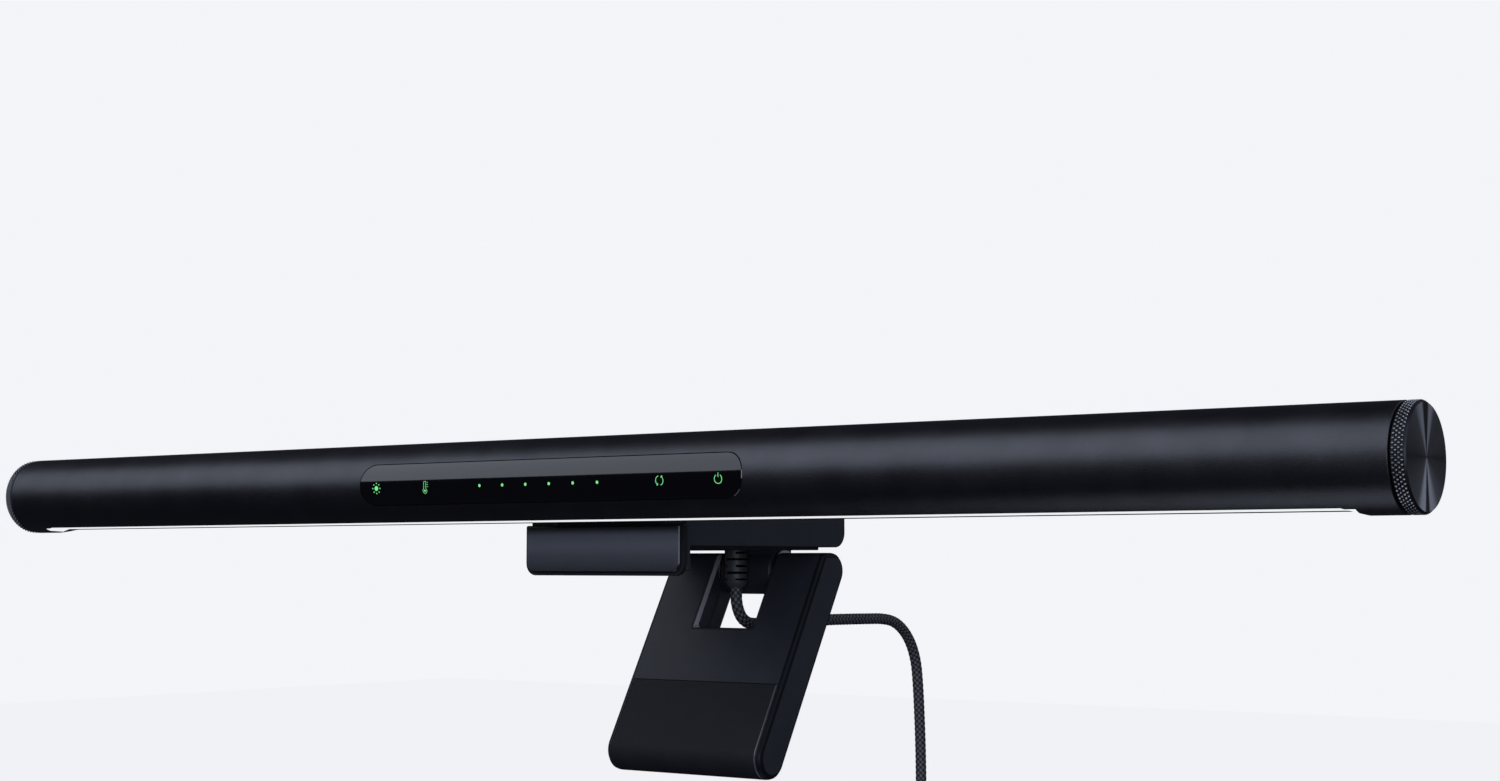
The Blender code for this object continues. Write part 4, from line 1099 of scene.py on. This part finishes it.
def braided(name, points, radius, paint):
    """A woven sleeve: strands that cross over and under each other, as relief on a tube along the points."""
    path = smooth_path(points, CORD_STEP)
    bm = bmesh.new()
    weave = bm.loops.layers.uv.new("weave")
    rings = []
    across = Vector((1, 0, 0))
    for i, p in enumerate(path):
        along = (path[min(i + 1, len(path) - 1)] - path[max(i - 1, 0)]).normalized()
        across = (across - along * across.dot(along)).normalized()
        other = along.cross(across)
        ring = []
        for k in range(CORD_SIDES):
            angle = 2 * math.pi * k / CORD_SIDES
            turn, run = 3 * angle, math.pi * i * CORD_STEP / WEAVE_PITCH
            r = radius - 0.2 + 0.1 * (abs(math.sin(turn + run)) + abs(math.sin(turn - run)))
            ring.append(bm.verts.new(p + across * (r * math.cos(angle)) + other * (r * math.sin(angle))))
        rings.append(ring)
    for i, (a, b) in enumerate(zip(rings, rings[1:])):
        for k in range(CORD_SIDES):
            j = (k + 1) % CORD_SIDES
            face = bm.faces.new((a[k], a[j], b[j], b[k]))
            spots = ((k, i), (k + 1, i), (k + 1, i + 1), (k, i + 1))
            for loop, (s, t) in zip(face.loops, spots):
                loop[weave].uv = (s / CORD_SIDES, t * CORD_STEP * MM)
    bm.faces.new(rings[0])
    bm.faces.new(rings[-1])
    obj = piece(name, bm, "clamp", paint, angle=60, weighted=False)
    return obj, [BAR @ p for p in path]


def contact_strips(y, end):
    """The four contacts on the plug's tongue, as one mesh."""
    bm = bmesh.new()
    for i in range(4):
        x = -3.5 + 7.0 * i / 3
        corners = [(x - 0.5, y + 0.38), (x + 0.5, y + 0.38), (x + 0.5, y + 0.5), (x - 0.5, y + 0.5)]
        strip = prism("z", corners, end - 11.0, end - 4.0)
        spots = {v: bm.verts.new(v.co) for v in strip.verts}
        for face in strip.faces:
            bm.faces.new([spots[v] for v in face.verts])
        strip.free()
    return bm


def tie_strap(paint):
    """The hook-and-loop strap round the hank's waist, with its free end laid over."""
    inner = HANK_WAIST + 1.3
    outer, half = inner + 1.2, TIE_HALF_HEIGHT
    y0, y1 = HANK_Y - TIE_HALF_DEPTH, HANK_Y + TIE_HALF_DEPTH
    opening = rounded((-inner, y0), (inner, y1), (1.4,) * 4)
    free_end = rounded((-2, y0 - 2.0), (inner - 1, y0 - 1.1), (0.4,) * 4, 3)
    steps = [(CUT, prism("z", opening, HANK_CENTRE - 2 * half, HANK_CENTRE + 2 * half)),
             ("BEVEL", 0.3, 2),
             ("UNION", prism("z", free_end, HANK_CENTRE - half, HANK_CENTRE + half))]
    band = prism("z", rounded((-outer, y0 - 1.2), (outer, y1 + 1.2), (2.6,) * 4), HANK_CENTRE - half,
                 HANK_CENTRE + half)
    return piece("strap_tie", band, "clamp", paint, ["cord_tie"], steps)


def plug(paints):
    """The plug: a ridged grip, a pressed shell with latch windows, and a tongue with four contacts."""
    top, y = HANK_BOTTOM - 0.3, LAYERS[1]
    steps = [("BEVEL", 1.2, 4)]
    for number in range(5):
        z = top - 9 - 2.2 * number
        for side in (-1, 1):
            x0, x1 = sorted((side * 7.7, side * 9))
            steps.append((CUT, block((x0, y - 3, z - 0.5), (x1, y + 3, z + 0.5))))
    handle = prism("z", rounded((-8, y - 4), (8, y + 4), (2.2,) * 4), top - 26, top)
    grip = piece("plug_grip", handle, "clamp", paints["plastic"], ["usb_plug_grip"], steps)
    end = top - 26.3
    steps = [(CUT, block((-5.6, y - 1.85, end - 14), (5.6, y + 1.85, end - 1.2)))]
    for x in (-2.75, 2.75):
        for face in (y - 2.25, y + 2.25):
            window = block((x - 1.1, face - 0.6, end - 7.2), (x + 1.1, face + 0.6, end - 5.0))
            steps.append((CUT, window))
    sleeve = prism("z", rounded((-6, y - 2.25), (6, y + 2.25), (0.5,) * 4, 4), end - 12, end)
    shell = piece("plug_shell", sleeve, "clamp", paints["nickel"], ["usb_plug_shell"], steps)
    tongue = piece("plug_tongue", block((-5.3, y - 1.5, end - 11.2), (5.3, y + 0.4, end - 1.5)), "clamp",
                   paints["plastic"], ["usb_plug_tongue"], [("BEVEL", 0.15, 2)])
    gold = piece("plug_contacts", contact_strips(y, end), "clamp", paints["gold"])
    return [grip, shell, tongue, gold]


def cord_and_plug(paints):
    route = [(0.0, y, z) for y, z in CORD_ROUTE] + hank_points()
    route[0] = CORD_START
    flex, path = braided("braided_flex", route, CORD_R, paints["braid"])
    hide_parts("cord", "cord_hank")
    tie = tie_strap(paints["strap"])
    grip, shell, tongue, gold = plug(paints)


# ---- the model's own nodes

def repaint(paints):
    """Gives the model's nodes that still show, and those inside it, a finished material."""
    steel = ("hinge_pin", "hinge_plate", "torsion_spring", "leg_weight")
    plan = {
        "steel": [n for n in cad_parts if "screw" in n or "washer" in n or n in steel],
        "board": [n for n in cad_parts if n.endswith("_board") or "led_board" in n],
        "raw_aluminium": ["carrier_rail"],
        "plastic": ["end_plug_left", "end_plug_right", "tilt_shoe", "saddle_liner"],
        "lead": ["power_lead"],
    }
    for key, nodes in plan.items():
        for name in nodes:
            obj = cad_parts[name]
            if not obj.material_slots:
                obj.data.materials.append(paints[key])
            for holder in obj.material_slots:
                holder.material = paints[key]


camera()
studio()
PAINTS = make_paints()
lamp(PAINTS)
clamp(PAINTS)
leg(PAINTS)
cord_and_plug(PAINTS)
repaint(PAINTS)
